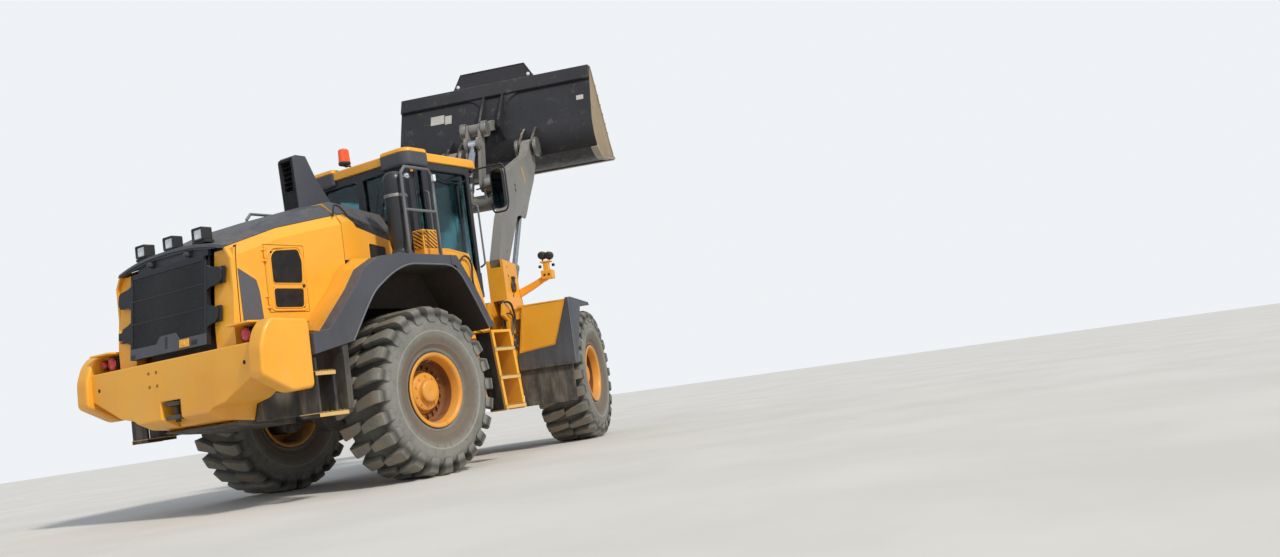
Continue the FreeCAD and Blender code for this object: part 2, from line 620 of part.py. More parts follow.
def cylinder_pair(base, eye, y, sizes, eye_width, pin_radius, eye_radius, inside):
    """Barrel and rod in a plane of constant y; sizes are barrel radius, rod radius, neck length, full length."""
    barrel_radius, rod_radius, neck, closed = sizes
    bx, bz = base
    ex, ez = eye
    length = math.hypot(ex - bx, ez - bz)
    ux, uz = (ex - bx) / length, (ez - bz) / length
    hole = pin_radius + PIN_GAP

    def at(s):
        return (bx + ux * s, y, bz + uz * s)

    half = eye_width / 2
    barrel = join([rod(at(neck), at(closed), barrel_radius), rod((bx, y - half, bz), (bx, y + half, bz), hole + 30),
                   rod(at(hole + 10), at(neck + 5), 0.9 * half), rod(at(closed - 60), at(closed), barrel_radius + 4)])
    barrel = barrel.cut(rod((bx, y - 200, bz), (bx, y + 200, bz), hole))
    barrel = barrel.cut(rod(at(neck + 10), at(closed + 10), rod_radius + PIN_GAP))
    shaft = join([rod(at(inside), at(length - 10), rod_radius), rod((ex, y - half, ez), (ex, y + half, ez), eye_radius)])
    return barrel, shaft


def cab_frame():
    """Hollow cab box with its windows and door opening cut, and the door's fixed hinge halves."""
    half, w = CAB_HALF_WIDTH, CAB_WALL
    corner, nose, narrow = CAB_FRONT_CORNER, CAB_NOSE, CAB_NOSE_HALF
    outline = [(CAB_REAR, -half), (corner, -half), (nose, -narrow), (nose, narrow), (corner, half), (CAB_REAR, half)]
    inside = [(CAB_REAR + w, w - half), (corner - w / 2, w - half), (nose - w, w / 3 - narrow),
              (nose - w, narrow - w / 3), (corner - w / 2, half - w), (CAB_REAR + w, half - w)]
    shell = prism(outline, "z", CAB_FLOOR, CAB_EAVES).cut(prism(inside, "z", CAB_FLOOR + w, CAB_EAVES + 1))
    big = half + 50
    high = WINDOW_HIGH
    cuts = [box(DOOR_REAR, DOOR_FRONT, 0, big, DOOR_LOW, DOOR_HIGH),
            box(SIDE_WINDOW[0], SIDE_WINDOW[1], -big, 0, SIDE_WINDOW[2], high),
            box(QUARTER_WINDOW[0], QUARTER_WINDOW[1], -big, big, QUARTER_WINDOW[2], high),
            box(nose - 130, nose + 90, -FRONT_WINDOW_HALF, FRONT_WINDOW_HALF, FRONT_WINDOW_LOW, high)]
    for y0, y1 in REAR_WINDOWS:
        cuts.append(box(CAB_REAR - 50, CAB_REAR + w + 50, y0, y1, REAR_WINDOW_LOW, high))
    for s in (-1, 1):
        cuts.append(prism([(-20, s * 850), (300, s * 560), (60, s * 440), (-160, s * 640)], "z",
                          FRONT_WINDOW_LOW, high))
    return shell.cut(cuts[0].fuse(cuts[1:])).fuse(cab_door_hinges(0))


def cab_door_hinges(part):
    halves = hinge((-45, -HINGE_PROUD - 6), (45, -HINGE_PROUD - 6))
    return [moved(halves[part], DOOR_REAR + DOOR_GAP / 2, CAB_HALF_WIDTH + HINGE_PROUD, z) for z in (2150, 3250)]


def cab_glass():
    """Window panes in the middle of the cab frame's openings, 0.3 mm clear of the frame."""
    g = SEAT_GAP
    mid = CAB_WALL / 2
    high = WINDOW_HIGH - g
    panes = []
    for y0, y1 in REAR_WINDOWS:
        panes.append(box(CAB_REAR + mid, CAB_REAR + mid + PANE, y0 + g, y1 - g, REAR_WINDOW_LOW + g, high))
    panes.append(box(CAB_NOSE - mid - PANE, CAB_NOSE - mid, g - FRONT_WINDOW_HALF, FRONT_WINDOW_HALF - g,
                     FRONT_WINDOW_LOW + g, high))
    y = CAB_HALF_WIDTH - mid
    x0, x1, z0 = QUARTER_WINDOW
    panes += both(box(x0 + g, x1 - g, y, y + PANE, z0 + g, high))
    x0, x1, z0 = SIDE_WINDOW
    panes.append(box(x0 + g, x1 - g, -y - PANE, -y, z0 + g, high))
    return panes


def cab_door():
    """Left door: a frame with a tall window cut in it, its handle and its moving hinge halves."""
    y1 = CAB_HALF_WIDTH
    y0 = y1 - DOOR_THICK
    g = DOOR_GAP
    panel = box(DOOR_REAR + g, DOOR_FRONT - g, y0, y1, DOOR_LOW + g, DOOR_HIGH - g)
    panel = panel.cut(box(DOOR_REAR + DOOR_STILE, DOOR_FRONT - DOOR_STILE, y0 - 10, y1 + 10,
                          DOOR_GLASS_LOW, DOOR_GLASS_HIGH))
    x = DOOR_FRONT - 45
    handle = [rod((x, y1 - 2, z), (x, y1 + 30, z), 10) for z in (2380, 2560)]
    handle.append(rod((x, y1 + 30, 2360), (x, y1 + 30, 2580), 11))
    return panel.fuse(handle + cab_door_hinges(1))


def cab_door_glass():
    y = CAB_HALF_WIDTH - DOOR_THICK / 2
    g = SEAT_GAP
    return box(DOOR_REAR + DOOR_STILE + g, DOOR_FRONT - DOOR_STILE - g, y - PANE / 2, y + PANE / 2,
               DOOR_GLASS_LOW + g, DOOR_GLASS_HIGH - g)


def cab_roof():
    """Roof slab with raised rear corner housings and the beacon."""
    half = CAB_HALF_WIDTH + 20
    outline = [(CAB_REAR - 20, -700), (CAB_REAR + 60, -half), (60, -half), (290, -560), (340, 0), (290, 560),
               (60, half), (CAB_REAR + 60, half), (CAB_REAR - 20, 700)]
    top = CAB_EAVES + ROOF_THICK
    slab = prism(outline, "z", CAB_EAVES + SEAT_GAP, top)
    corner = prism([(CAB_REAR, -750), (CAB_REAR + 300, -770), (CAB_REAR + 300, -380), (CAB_REAR, -340)],
                   "z", top - 40, top + 35)
    x, y = CAB_REAR + 110, 90
    beacon = [rod((x, y, top - 5), (x, y, top + 60), 30), rod((x, y, top + 55), (x, y, top + 190), 75)]
    return join([slab] + both(corner) + beacon)


def mirror():
    """Left mirror: its arm hangs from the roof's front corner, and the housing faces the rear."""
    top = CAB_EAVES - MIRROR_ARM_DROP
    x, y = MIRROR_PLACE
    wide, thick, tall = MIRROR_SIZE
    arm = tube_path([(30, MIRROR_FOOT_Y, top), (x, y, top), (x, y, top - tall + 60)], MIRROR_ARM_RADIUS)
    foot = box(5, 55, MIRROR_FOOT_Y - 30, MIRROR_FOOT_Y + 20, top - 25, CAB_EAVES)
    cut = wide / 4
    low, high = top - 20 - tall, top - 20
    housing = prism([(y - wide / 2, low + cut), (y - wide / 2 + cut, low), (y + wide / 2 - cut, low),
                     (y + wide / 2, low + cut), (y + wide / 2, high - cut), (y + wide / 2 - cut, high),
                     (y - wide / 2 + cut, high), (y - wide / 2, high - cut)], "x", x - thick / 2, x + thick / 2)
    return join([arm, foot, housing])


def cab_interior():
    """Seat on a pedestal and the steering console, standing on the cab floor."""
    z = CAB_FLOOR + CAB_WALL
    seat = join([box(-780, -380, -150, 150, z + SEAT_GAP, z + 320), box(-850, -330, -250, 250, z + 320, z + 450),
                 prism([(-850, z + 400), (-730, z + 450), (-830, z + 1100), (-930, z + 1100)], "y", -240, 240),
                 box(-800, -400, -360, -270, z + 560, z + 640), box(-800, -400, -280, -240, z + 400, z + 640)])
    column = rod((-20, 0, z + 260), (-230, 0, z + 640), 45)
    foot = prism([(20, z + SEAT_GAP), (20, z + 240), (-40, z + 330), (-150, z + 330), (-110, z + SEAT_GAP)],
                 "y", -170, 170)
    ring = Part.makeTorus(190, 15, V(-240, 0, z + 650), V(-210, 0, 380))
    spoke = rod((-400, 0, z + 560), (-75, 0, z + 740), 14)
    return [seat, join([column, foot, ring, spoke])]


def hood_sides():
    """Side panels of the hood with their rear pillars and the fixed hinge halves of the doors."""
    sections = []
    w = HOOD_HALF_WIDTH
    shoulder_y = w - HOOD_SHOULDER_IN
    for x, shoulder, crown in HOOD_STATIONS:
        low = shoulder - HOOD_BEVEL
        sections.append([(x, w, HOOD_BOTTOM), (x, w, low), (x, shoulder_y, shoulder),
                         (x, shoulder_y - SHEET, shoulder), (x, w - SHEET, low - 12), (x, w - SHEET, HOOD_BOTTOM)])
    panel = skin(sections[:2]).fuse(skin(sections[1:]))
    pillar = prism([(-3745, BALLAST_TOP + SEAT_GAP), (-3745, HOOD_BOTTOM), (-3672, 2420), (-3640, 2420),
                    (-3640, BALLAST_TOP + SEAT_GAP)], "y", 625, w - 1)
    side = join([panel, pillar])
    side = side.cut(box(SERVICE_REAR, SERVICE_FRONT, w - 60, w + 60, SERVICE_LOW, SERVICE_HIGH))
    side = side.fuse(service_hinges(0))
    return [side.fuse(grille_hinges(0)), mirrored(side)]


def service_hinges(part):
    halves = hinge((-45, -HINGE_PROUD - 6), (45, -HINGE_PROUD - 6))
    return [moved(halves[part], SERVICE_REAR + DOOR_GAP / 2, HOOD_HALF_WIDTH + HINGE_PROUD, z) for z in (1840, 2290)]


def grille_hinges(part):
    halves = hinge((42, 10), (0, -80))
    x, z = GRILLE_FOOT
    placed = []
    for z0, z1, reach in GRILLE_TABS:
        tilted = turned(moved(halves[part], 0, 0, z0 + 10 - z), (0, 0, 0), (0, 1, 0),
                        math.degrees(math.atan(GRILLE_LEAN)))
        placed.append(moved(tilted, x - GRILLE_AXIS_BACK, GRILLE_AXIS_Y, z))
    return placed


def service_door():
    """Left service door with two slatted openings and its moving hinge halves."""
    g = DOOR_GAP
    w = HOOD_HALF_WIDTH
    panel = box(SERVICE_REAR + g, SERVICE_FRONT - g, w - SHEET, w, SERVICE_LOW + g, SERVICE_HIGH - g)
    x0, x1 = SERVICE_REAR + 75, SERVICE_FRONT - 45
    slats = []
    for low, high in SERVICE_VENTS:
        panel = panel.cut(box(x0, x1, w - 60, w + 60, low, high))
        z = low + 14
        while z + VENT_SLAT < high - 4:
            slats.append(box(x0 - 2, x1 + 2, w - SHEET + 1, w - 4, z, z + VENT_SLAT))
            z += VENT_PITCH
    return panel.fuse(slats + service_hinges(1))


def hood_top():
    """Crowned cover between the shoulders, a thin skin, with its hinge brackets and the rear work lamps."""
    def outline(x, shoulder, crown, t):
        w = HOOD_HALF_WIDTH - HOOD_SHOULDER_IN
        low = shoulder + SIDE_GAP
        return [(x, w, low), (x, w - 200, crown - 45), (x, w - 520, crown), (x, 520 - w, crown),
                (x, 200 - w, crown - 45), (x, -w, low), (x, t - w, low),
                (x, 200 + t / 2 - w, crown - 45 - t), (x, 520 - w, crown - t), (x, w - 520, crown - t),
                (x, w - 200 - t / 2, crown - 45 - t), (x, w - t, low)]
    sections = [outline(x, s, c, SHEET) for x, s, c in HOOD_STATIONS]
    pieces = [skin(sections[:2]), skin(sections[1:])]
    ax, az = HOOD_AXIS
    for y0, y1 in HOOD_BRACKETS:
        bracket = prism([(ax, az - 22), (-3690, 2445), (-3650, 2500), (-3650, 2530), (-3700, 2518), (ax, az + 22)],
                        "y", y0, y1)
        pieces += both(bracket.fuse(rod((ax, y0, az), (ax, y1, az), 22)))
    pieces += both(rod((ax, HOOD_BRACKETS[0][0] - 7, az), (ax, HOOD_BRACKETS[1][1] + 7, az), HOOD_HINGE_PIN))
    for y in (-450, 0, 450):
        pieces.append(box(-3690, -3600, y - 75, y + 75, 2565, 2680))
        pieces.append(box(-3655, -3625, y - 25, y + 25, 2535, 2570))
    return pieces[0].fuse(pieces[1:])


def cowl_outline(x, w, shoulder, crown, low):
    return [(x, w, low), (x, w, shoulder - 90), (x, w - 70, shoulder), (x, w - 260, crown - 30), (x, 0, crown),
            (x, 260 - w, crown - 30), (x, 70 - w, shoulder), (x, -w, shoulder - 90), (x, -w, low)]


def cowl():
    """Fixed cover between the hood and the cab, open below."""
    def ring(x, w, shoulder, crown):
        low = DECK_TOP + SEAT_GAP
        t = SHEET
        return cowl_outline(x, w, shoulder, crown, low) + [
            (x, t - w, low), (x, t - w, shoulder - 95), (x, 70 + t - w, shoulder - 15),
            (x, 260 + t - w, crown - 30 - t), (x, 0, crown - t), (x, w - 260 - t, crown - 30 - t),
            (x, w - 70 - t, shoulder - 15), (x, w - t, shoulder - 95), (x, w - t, low)]
    sections = [ring(*station) for station in COWL_STATIONS]
    return skin(sections[:2]).fuse(skin(sections[1:]))


def stack():
    """Exhaust stack shell with its outlet open to the rear, standing on the cowl's crown."""
    outer = prism([(-2160, 2900), (-2190, 3600), (-2150, 3650), (-2010, 3650), (-1890, 3400), (-1640, 3045),
                   (-1640, 2900)], "y", -125, 125)
    sections = [cowl_outline(x, w, s, c + SEAT_GAP, DECK_TOP) for x, w, s, c in COWL_STATIONS]
    outer = outer.cut(skin(sections[:2]).fuse(skin(sections[1:])))
    return outer.cut(box(-2300, -2080, -85, 85, 3250, 3600))


def grille():
    """Radiator grille door: tilted panel with two tabs each side and its moving hinge halves."""
    def slab(y0, y1, z0, z1, front, thick):
        def at(z):
            return GRILLE_FOOT[0] + (z - GRILLE_FOOT[1]) * GRILLE_LEAN + front
        return prism([(at(z0), z0), (at(z0) - thick, z0), (at(z1) - thick, z1), (at(z1), z1)], "y", y0, y1)
    pieces = [slab(-590, 590, 1560, 2400, GRILLE_FRONT, GRILLE_THICK)]
    for z0, z1, reach in GRILLE_TABS:
        pieces.append(slab(-reach, reach, z0, z1, GRILLE_FRONT - 1, 30))
    return join(pieces).fuse(grille_hinges(1))


def engine_block():
    """Engine and cooler as one plain block, with the lugs of the hood's hinge."""
    half = (CHASSIS_IN + CHASSIS_OUT) / 2 + 10
    pieces = [box(-3150, -2060, -half, half, CHASSIS_TOP + SEAT_GAP, 2150), box(-3360, -3140, -250, 250, 1700, 2050),
              box(-3620, -3350, -560, 560, BALLAST_TOP + SEAT_GAP, 2330)]
    ax, az = HOOD_AXIS
    lug = prism([(-3620, 2320), (-3560, 2320), (-3590, 2440), (-3640, 2485), (ax, az + 25), (ax, az - 25),
                 (-3672, 2430), (-3640, 2380)], "y", *HOOD_LUG)
    lug = lug.fuse(rod((ax, HOOD_LUG[0], az), (ax, HOOD_LUG[1], az), 25))
    lug = lug.cut(rod((ax, 200, az), (ax, 400, az), HOOD_HINGE_PIN + PIN_GAP))
    return join(pieces + both(lug))


def counterweight():
    """Cast rear ballast: sloped belly, side wings, lamp pockets, tow tongues and bolt holes."""
    front = BALLAST_FRONT
    main = prism([(-1260, BALLAST_TOP), (-1260, 1230), (-800, 1010), (-560, 960), (560, 960), (800, 1010),
                  (1260, 1230), (1260, BALLAST_TOP)], "x", -3850, front)
    nose = prism([(-3850, 1260), (-3850, 940), (-3700, 860), (front, 820), (front, 1260)], "y", -560, 560)
    wing = prism([(-3920, 1160), (-3580, 1010), (front, 1030), (front, 1670), (-3830, 1695), (-3920, 1560)],
                 "y", 1255, 1430)
    inner = box(-3660, front, 915, 1260, BALLAST_TOP - 5, 1680)
    shelf = box(-3850, -3655, 915, 1260, 1660, 1690)
    body = join([main, nose] + both(wing) + both(inner) + both(shelf))
    body = body.cut(box(-3860, -3700, -150, 150, 800, 1110))
    tongues = [box(-3840, -3690, -120, 120, z, z + 40) for z in (930, 1060)]
    body = join([body] + tongues)
    holes = [rod((HITCH_X, 0, 800), (HITCH_X, 0, 1120), HITCH_PIN_RADIUS)]
    cy, cz = PLATE_BOLT_CENTRE
    dy, dz = PLATE_BOLT_SPACING
    for y in (cy - dy / 2, cy + dy / 2):
        for z in (cz - dz / 2, cz + dz / 2):
            holes.append(rod((-3900, y, z), (-3780, y, z), PLATE_BOLT_RADIUS))
    return body.cut(holes[0].fuse(holes[1:]))


def fender_skin():
    """Left rear fender: the painted sheet between hood and trim, flat over the wheel."""
    inner = [(x + 150, z + 60) for x, z in ARCH_TOP[:3]] + [(-2250, 2345)] + ARCH_TOP[4:6]

    def ring(points, y):
        below = [(x + 14, z - SHEET) for x, z in reversed(points)]
        return [(x, y, z) for x, z in points + below]
    return skin([ring(inner, FENDER_IN), ring(ARCH_TOP[:6], FENDER_OUT)])


def fender_trim():
    """Left rear fender trim: a band from the rear foot over the wheel to the ladder, with the mudflap."""
    band = prism(ARCH_TOP + ARCH[::-1], "y", FENDER_OUT + SEAT_GAP, TRIM_OUT)
    foot = prism([(-3338, 1330), (-3338, 1530), (-3130, 1560), (-2860, 1430)], "y", FENDER_OUT + SEAT_GAP, TRIM_OUT)
    return join([band, foot, box(-2990, -2940, 820, 1440, 800, 1425)])


def rear_steps():
    """Left boarding steps behind the rear wheel with their hangers."""
    x = CHASSIS_END
    return join([box(x, -3120, 1180, 1440, 1140, 1170), box(x, -3010, 1180, 1440, 760, 790),
                 box(x, x + 25, 1180, 1440, 760, 1300), box(-3150, -3120, 1180, 1440, 760, 1170)])


RIGHT_APRON = [(-1230, 2300), (-1160, 2440), (-1060, 2440), (-730, 2390), (-640, 2170), (-540, 1760), (-520, 1440),
               (-755, 1520), (-955, 1890)]
LEFT_APRON = [(-1230, 2300), (-1160, 2440), (-1060, 2440), (-960, 2400), (-900, 1990), (-620, 1980), (-540, 1760),
              (-520, 1440), (-755, 1520), (-955, 1890)]
APRON_OUT = 1190.0
APRON_THICK = 30.0
TANK_OUT = 800.0


def cab_access(outline):
    """Stairs of the left side: apron plate with the given outline, inner treads and the ladder below."""
    inside = APRON_OUT - APRON_THICK + 5
    pieces = [prism(outline, "y", APRON_OUT - APRON_THICK, APRON_OUT)]
    for x0, x1, z in ((-1225, -900, 2130), (-930, -560, 1800), (-860, -500, 1480)):
        pieces.append(box(x0, x1, TANK_OUT + SEAT_GAP, inside, z, z + 30))
    for x0, x1 in ((-640, -600), (-320, -280)):
        pieces.append(prism([(x0, 1490), (x1, 1490), (x1 + 100, 560), (x0 + 100, 560)], "y", 1060, 1300))
    for z, shift in ((580, 98), (920, 61), (1250, 25)):
        pieces.append(box(shift - 640, shift - 280, 1060, 1300, z, z + 30))
    pieces.append(box(-640, -280, 1060, 1300, 1460, 1490))
    return join(pieces)


def handrail():
    """Left handrail on the fender platform."""
    y = FENDER_OUT - 30
    z0 = PLATFORM_Z + SEAT_GAP
    x0, x1, high = -1760, -1280, 3300
    loop = tube_path([(x0, y, z0), (x0, y, high - 70), (x0 + 60, y, high), (x1 - 60, y, high), (x1, y, high - 70),
                      (x1, y, z0)], 17)
    return join([loop, rod((x0, y, 2830), (x1, y, 2830), 15)])


def precleaner():
    """Right-hand air pre-cleaner on its base."""
    x, y = -1700, -1100
    return join([rod((x, y, PLATFORM_Z + SEAT_GAP), (x, y, 2430), 150), rod((x, y, 2420), (x, y, 3230), 118),
                 rod((x, y, 3225), (x, y, 3275), 95), rod((x, y, 2990), (x, y, 3015), 124)])


def cab_base():
    """Tanks, the deck under the cab and cowl, and the bulkhead that carries them."""
    deck = box(-1356, -260, -760, 760, 1850, CAB_FLOOR - SEAT_GAP)
    bulkhead = box(-1400, -1355, -700, 700, CHASSIS_TOP + SEAT_GAP, DECK_TOP)
    shelf = box(-2320, -1290, SEAT_GAP - FENDER_IN, FENDER_IN - SEAT_GAP, DECK_LOW, DECK_TOP)
    tank = box(-1240, -430, -620, 620, CHASSIS_TOP + SEAT_GAP, 1855)
    side = prism([(-1150, 1000), (-840, 1000), (-840, 1215), (-420, 1215), (-420, 1600), (-1150, 1600)],
                 "y", CHASSIS_OUT + 1, TANK_OUT)
    return join([deck, bulkhead, shelf, tank] + both(side))


def front_fender():
    """Left front fender: painted rear panel with the top over the wheel."""
    outer = FRONT_FENDER_OUT
    back = prism([(860, 1870), (outer, 1870), (1250, 1300), (750, 1250)], "x", 660, 690)
    top = prism([(660, 1840), (660, 1870), (1750, 1865), (1800, 1830), (1740, 1838)], "y", 790, outer)
    arm = box(689, 1150, TOWER_OUT + TOWER_PLATE + SEAT_GAP, 870, 1700, 1842)
    return join([back, top, arm])


def front_trim():
    """Left front fender trim: outer flange, lower rear panel and mudflap."""
    inner, outer = FRONT_FENDER_OUT + SEAT_GAP, FRONT_TRIM_OUT
    edge = prism([(645, 1030), (645, 1885), (780, 1895), (1750, 1865), (1800, 1830), (1730, 1825), (1260, 1800),
                  (1030, 1430), (770, 1020)], "y", inner, outer)
    low = prism([(730, 1030), (inner + 1, 1030), (inner + 1, 1838), (1250 + SEAT_GAP, 1300 - SEAT_GAP),
                 (750, 1250 - SEAT_GAP), (730, 1248)], "x", 645, 700)
    return join([edge, low, box(690, 700, 740, 1430, 560, 1035)])


def lamp_arm():
    """Left front lamp arm with its bracket and lamp."""
    x, y0 = 1170, TOWER_OUT + TOWER_PLATE + SEAT_GAP
    arm = skin([[(x - 40, y0, 2030), (x + 40, y0, 2030), (x + 40, y0, 2130), (x - 40, y0, 2130)],
                [(x - 30, 1100, 2200), (x + 30, 1100, 2200), (x + 30, 1100, 2270), (x - 30, 1100, 2270)]])
    return join([arm, box(x - 50, x + 50, 1060, 1200, 2200, 2350), rod((x, 1120, 2340), (x, 1120, 2480), 22),
                 box(x - 30, x + 90, 1020, 1230, 2470, 2640)])


def tail_lamp(y, radius):
    return rod((-3740, y, 1585), (-3660 - SEAT_GAP, y, 1585), radius)


def main():
    nodes = {}

    def put(name, shape, front=False):
        if isinstance(shape, list):
            shape = group(shape) if len(shape) > 1 else shape[0]
        if front:
            shape = turned(shape, (0, 0, 0), (0, 0, 1), STEER_REST)
        nodes[name] = shape

    for name, sx, pad, front in (("rear", -1, REAR_PAD, False), ("front", 1, FRONT_PAD, True)):
        for side, s in (("right", -1), ("left", 1)):
            wheel_rim, wheel_tyre = (rim(), tyre()) if s > 0 else (mirrored(rim()), mirrored(tyre()))
            centre = (sx * HALF_WHEELBASE, s * HALF_TRACK, TYRE_RADIUS)
            put("%s_%s_rim" % (name, side), moved(wheel_rim, *centre), front)
            put("%s_%s_tyre" % (name, side), moved(wheel_tyre, *centre), front)
        put("%s_axle" % name, axle(sx * HALF_WHEELBASE, pad), front)

    put("rear_chassis", rear_chassis())
    put("counterweight", counterweight())
    put("engine_block", engine_block())
    put("hood_sides", hood_sides())
    put("hood_top", hood_top())
    put("service_door_left", service_door())
    put("service_door_right", mirrored(service_door()))
    put("grille", grille())
    put("cowl", cowl())
    put("exhaust_stack", stack())
    put("precleaner", precleaner())
    put("rear_fenders", both(fender_skin()))
    put("rear_fender_trim", both(fender_trim()))
    put("rear_steps", both(rear_steps()))
    put("cab_access", [cab_access(LEFT_APRON), mirrored(cab_access(RIGHT_APRON))])
    put("handrails", both(handrail()))
    put("tail_lamps", both(tail_lamp(1040, 58)) + both(tail_lamp(1175, 45)))
    put("cab_base", cab_base())
    put("cab_frame", cab_frame())
    put("cab_glass", cab_glass())
    put("cab_door", cab_door())
    put("cab_door_glass", cab_door_glass())
    put("cab_roof", cab_roof())
    put("cab_interior", cab_interior())
    put("mirrors", both(mirror()))

    put("front_chassis", front_chassis(), True)
    put("front_fenders", both(front_fender()), True)
    put("front_fender_trim", both(front_trim()), True)
    put("lamp_arms", both(lamp_arm()), True)
    put("boom", on_boom(boom()), True)
    put("lever", lever(), True)
    put("lever_pin", both(lever_stub()), True)
    put("link_pin", capped_pin(LEVER_TOP, LEVER_OUT + SIDE_GAP, LINK_PIN_CAP, LINK_PIN_RADIUS), True)
    put("link", link(), True)
    put("bucket_pins", both(bucket_pin()), True)
    put("bucket", placed_bucket(bucket()), True)

    for side, s in (("right", -1), ("left", 1)):
        barrel, shaft = lift_cylinder(s)
        put("lift_barrel_" + side, barrel, True)
        put("lift_rod_" + side, shaft, True)
        barrel, shaft = steer_cylinder(s)
        put("steer_barrel_" + side, barrel)
        put("steer_rod_" + side, shaft)
    barrel, shaft = tilt_cylinder()
    put("tilt_pin", capped_pin(TILT_BASE, TILT_LUG_IN + TILT_LUG_THICK + SIDE_GAP, TILT_PIN_CAP, TILT_PIN_RADIUS), True)
    put("tilt_barrel", barrel, True)
    put("tilt_rod", shaft, True)

    whole = group(list(nodes.values()))
    reach = whole.optimalBoundingBox(False, False)
    shift = V(-(reach.XMin + reach.XMax) / 2, -(reach.YMin + reach.YMax) / 2, -reach.ZMin)
    os.makedirs("parts", exist_ok=True)
    for name, shape in nodes.items():
        shape.translate(shift)
        if not shape.isValid() or not shape.Solids:
            print("bad", name)
        shape.exportStep("parts/%s.step" % name)
    print("nodes", len(nodes))
    print("shift", *[round(v, 3) for v in shift])
    print("size", *[round(v, 1) for v in (reach.XLength, reach.YLength, reach.ZLength)])
    print_places(shift)


def front_place(x, y, z):
    a = math.radians(STEER_REST)
    return V(x * math.cos(a) - y * math.sin(a), x * math.sin(a) + y * math.cos(a), z)


def steer_points(s):
    """Rear and front pins of a steering cylinder, both in the machine frame at rest."""
    (rx, ry), (fx, fy) = STEER_REAR_PIN, STEER_FRONT_PIN
    return V(rx, s * ry, STEER_Z), front_place(fx, s * fy, STEER_Z)


def steer_cylinder(s):
    rear, front = steer_points(s)
    length = (front - rear).Length
    yaw = math.degrees(math.atan2(front.y - rear.y, front.x - rear.x))
    pair = cylinder_pair((0, 0), (length, 0), 0, STEER_BARREL, 2 * STEER_EYE_HALF, STEER_PIN_RADIUS, 50,
                         STEER_BORE_START + length - STEER_SHORTEST)
    result = []
    for shape in pair:
        flat = turned(shape, (0, 0, 0), (1, 0, 0), 90)
        result.append(moved(turned(flat, (0, 0, 0), (0, 0, 1), yaw), rear.x, rear.y, rear.z))
    return result


def lift_cylinder(s):
    y = s * (ARM_IN + ARM_OUT) / 2
    return cylinder_pair(LIFT_BASE, LIFT_EYE, y, LIFT_BARREL, 74, LIFT_PIN_RADIUS, 80, LIFT_ROD_INSIDE)


def tilt_cylinder():
    return cylinder_pair(TILT_BASE, LEVER_EYE, 0, TILT_BARREL, 120, TILT_PIN_RADIUS, 75, TILT_ROD_INSIDE)


def print_places(shift):
    """Joint places and axes of the finished machine, in metres."""
    def line(kind, name, point, axis):
        p = (point + shift) * 0.001
        print(kind, name, *[round(v, 6) for v in (p.x, p.y, p.z, axis.x, axis.y, axis.z)])

    def front_line(name, x, z, y=0.0):
        line("joint", name, front_place(x, y, z), side_axis)

    side_axis = front_place(0, 1, 0)
    line("joint", "steering", V(0, 0, 0), V(0, 0, 1))
    for side, s in (("right", -1), ("left", 1)):
        line("joint", "rear_" + side + "_wheel", V(-HALF_WHEELBASE, s * HALF_TRACK, TYRE_RADIUS), V(0, 1, 0))
        front_line("front_" + side + "_wheel", HALF_WHEELBASE, TYRE_RADIUS, s * HALF_TRACK)
    for name, point in (("lift", BOOM_PIVOT), ("lever_pin", LEVER_PIN), ("lever_top", LEVER_TOP),
                        ("bucket", BUCKET_PIN), ("lift_base", LIFT_BASE), ("tilt_base", TILT_BASE)):
        front_line(name, *point)
    for name, a, b in (("lift_rod", LIFT_BASE, LIFT_EYE), ("tilt_rod", TILT_BASE, LEVER_EYE)):
        run = front_place(b[0], 0, b[1]) - front_place(a[0], 0, a[1])
        line("slide", name, front_place(a[0], 0, a[1]), run.normalize())
    for side, s in (("right", -1), ("left", 1)):
        rear, front = steer_points(s)
        line("joint", "steer_barrel_" + side, rear, V(0, 0, 1))
        line("slide", "steer_rod_" + side, rear, (front - rear).normalize())
        line("joint", "service_door_" + side,
             V(SERVICE_REAR + DOOR_GAP / 2, s * (HOOD_HALF_WIDTH + HINGE_PROUD), SERVICE_LOW), V(0, 0, s))
    line("joint", "engine_hood", V(HOOD_AXIS[0], 0, HOOD_AXIS[1]), V(0, -1, 0))
    line("joint", "cab_door", V(DOOR_REAR + DOOR_GAP / 2, CAB_HALF_WIDTH + HINGE_PROUD, CAB_FLOOR), V(0, 0, 1))
    lean = V(GRILLE_LEAN, 0, 1).normalize()
    line("joint", "grille", V(GRILLE_FOOT[0] - GRILLE_AXIS_BACK, GRILLE_AXIS_Y, GRILLE_FOOT[1]), lean * -1)
    line("point", "hitch", V(HITCH_X, 0, 1015), V(0, 0, 1))
    line("point", "plate_bolts", V(-3850, *PLATE_BOLT_CENTRE), V(-1, 0, 0))


main()
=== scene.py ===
"""Looks of the articulated wheel loader: materials, detailed pieces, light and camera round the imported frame.

Pieces are drawn in the machine frame, in metres: origin on the ground below the articulation pin, +X forward
along the rear half, +Y left, +Z up. The front half is drawn straight ahead. REAR and FRONT place both halves.
"""

import json
import math

import bmesh
import bpy
from mathutils import Matrix, Vector

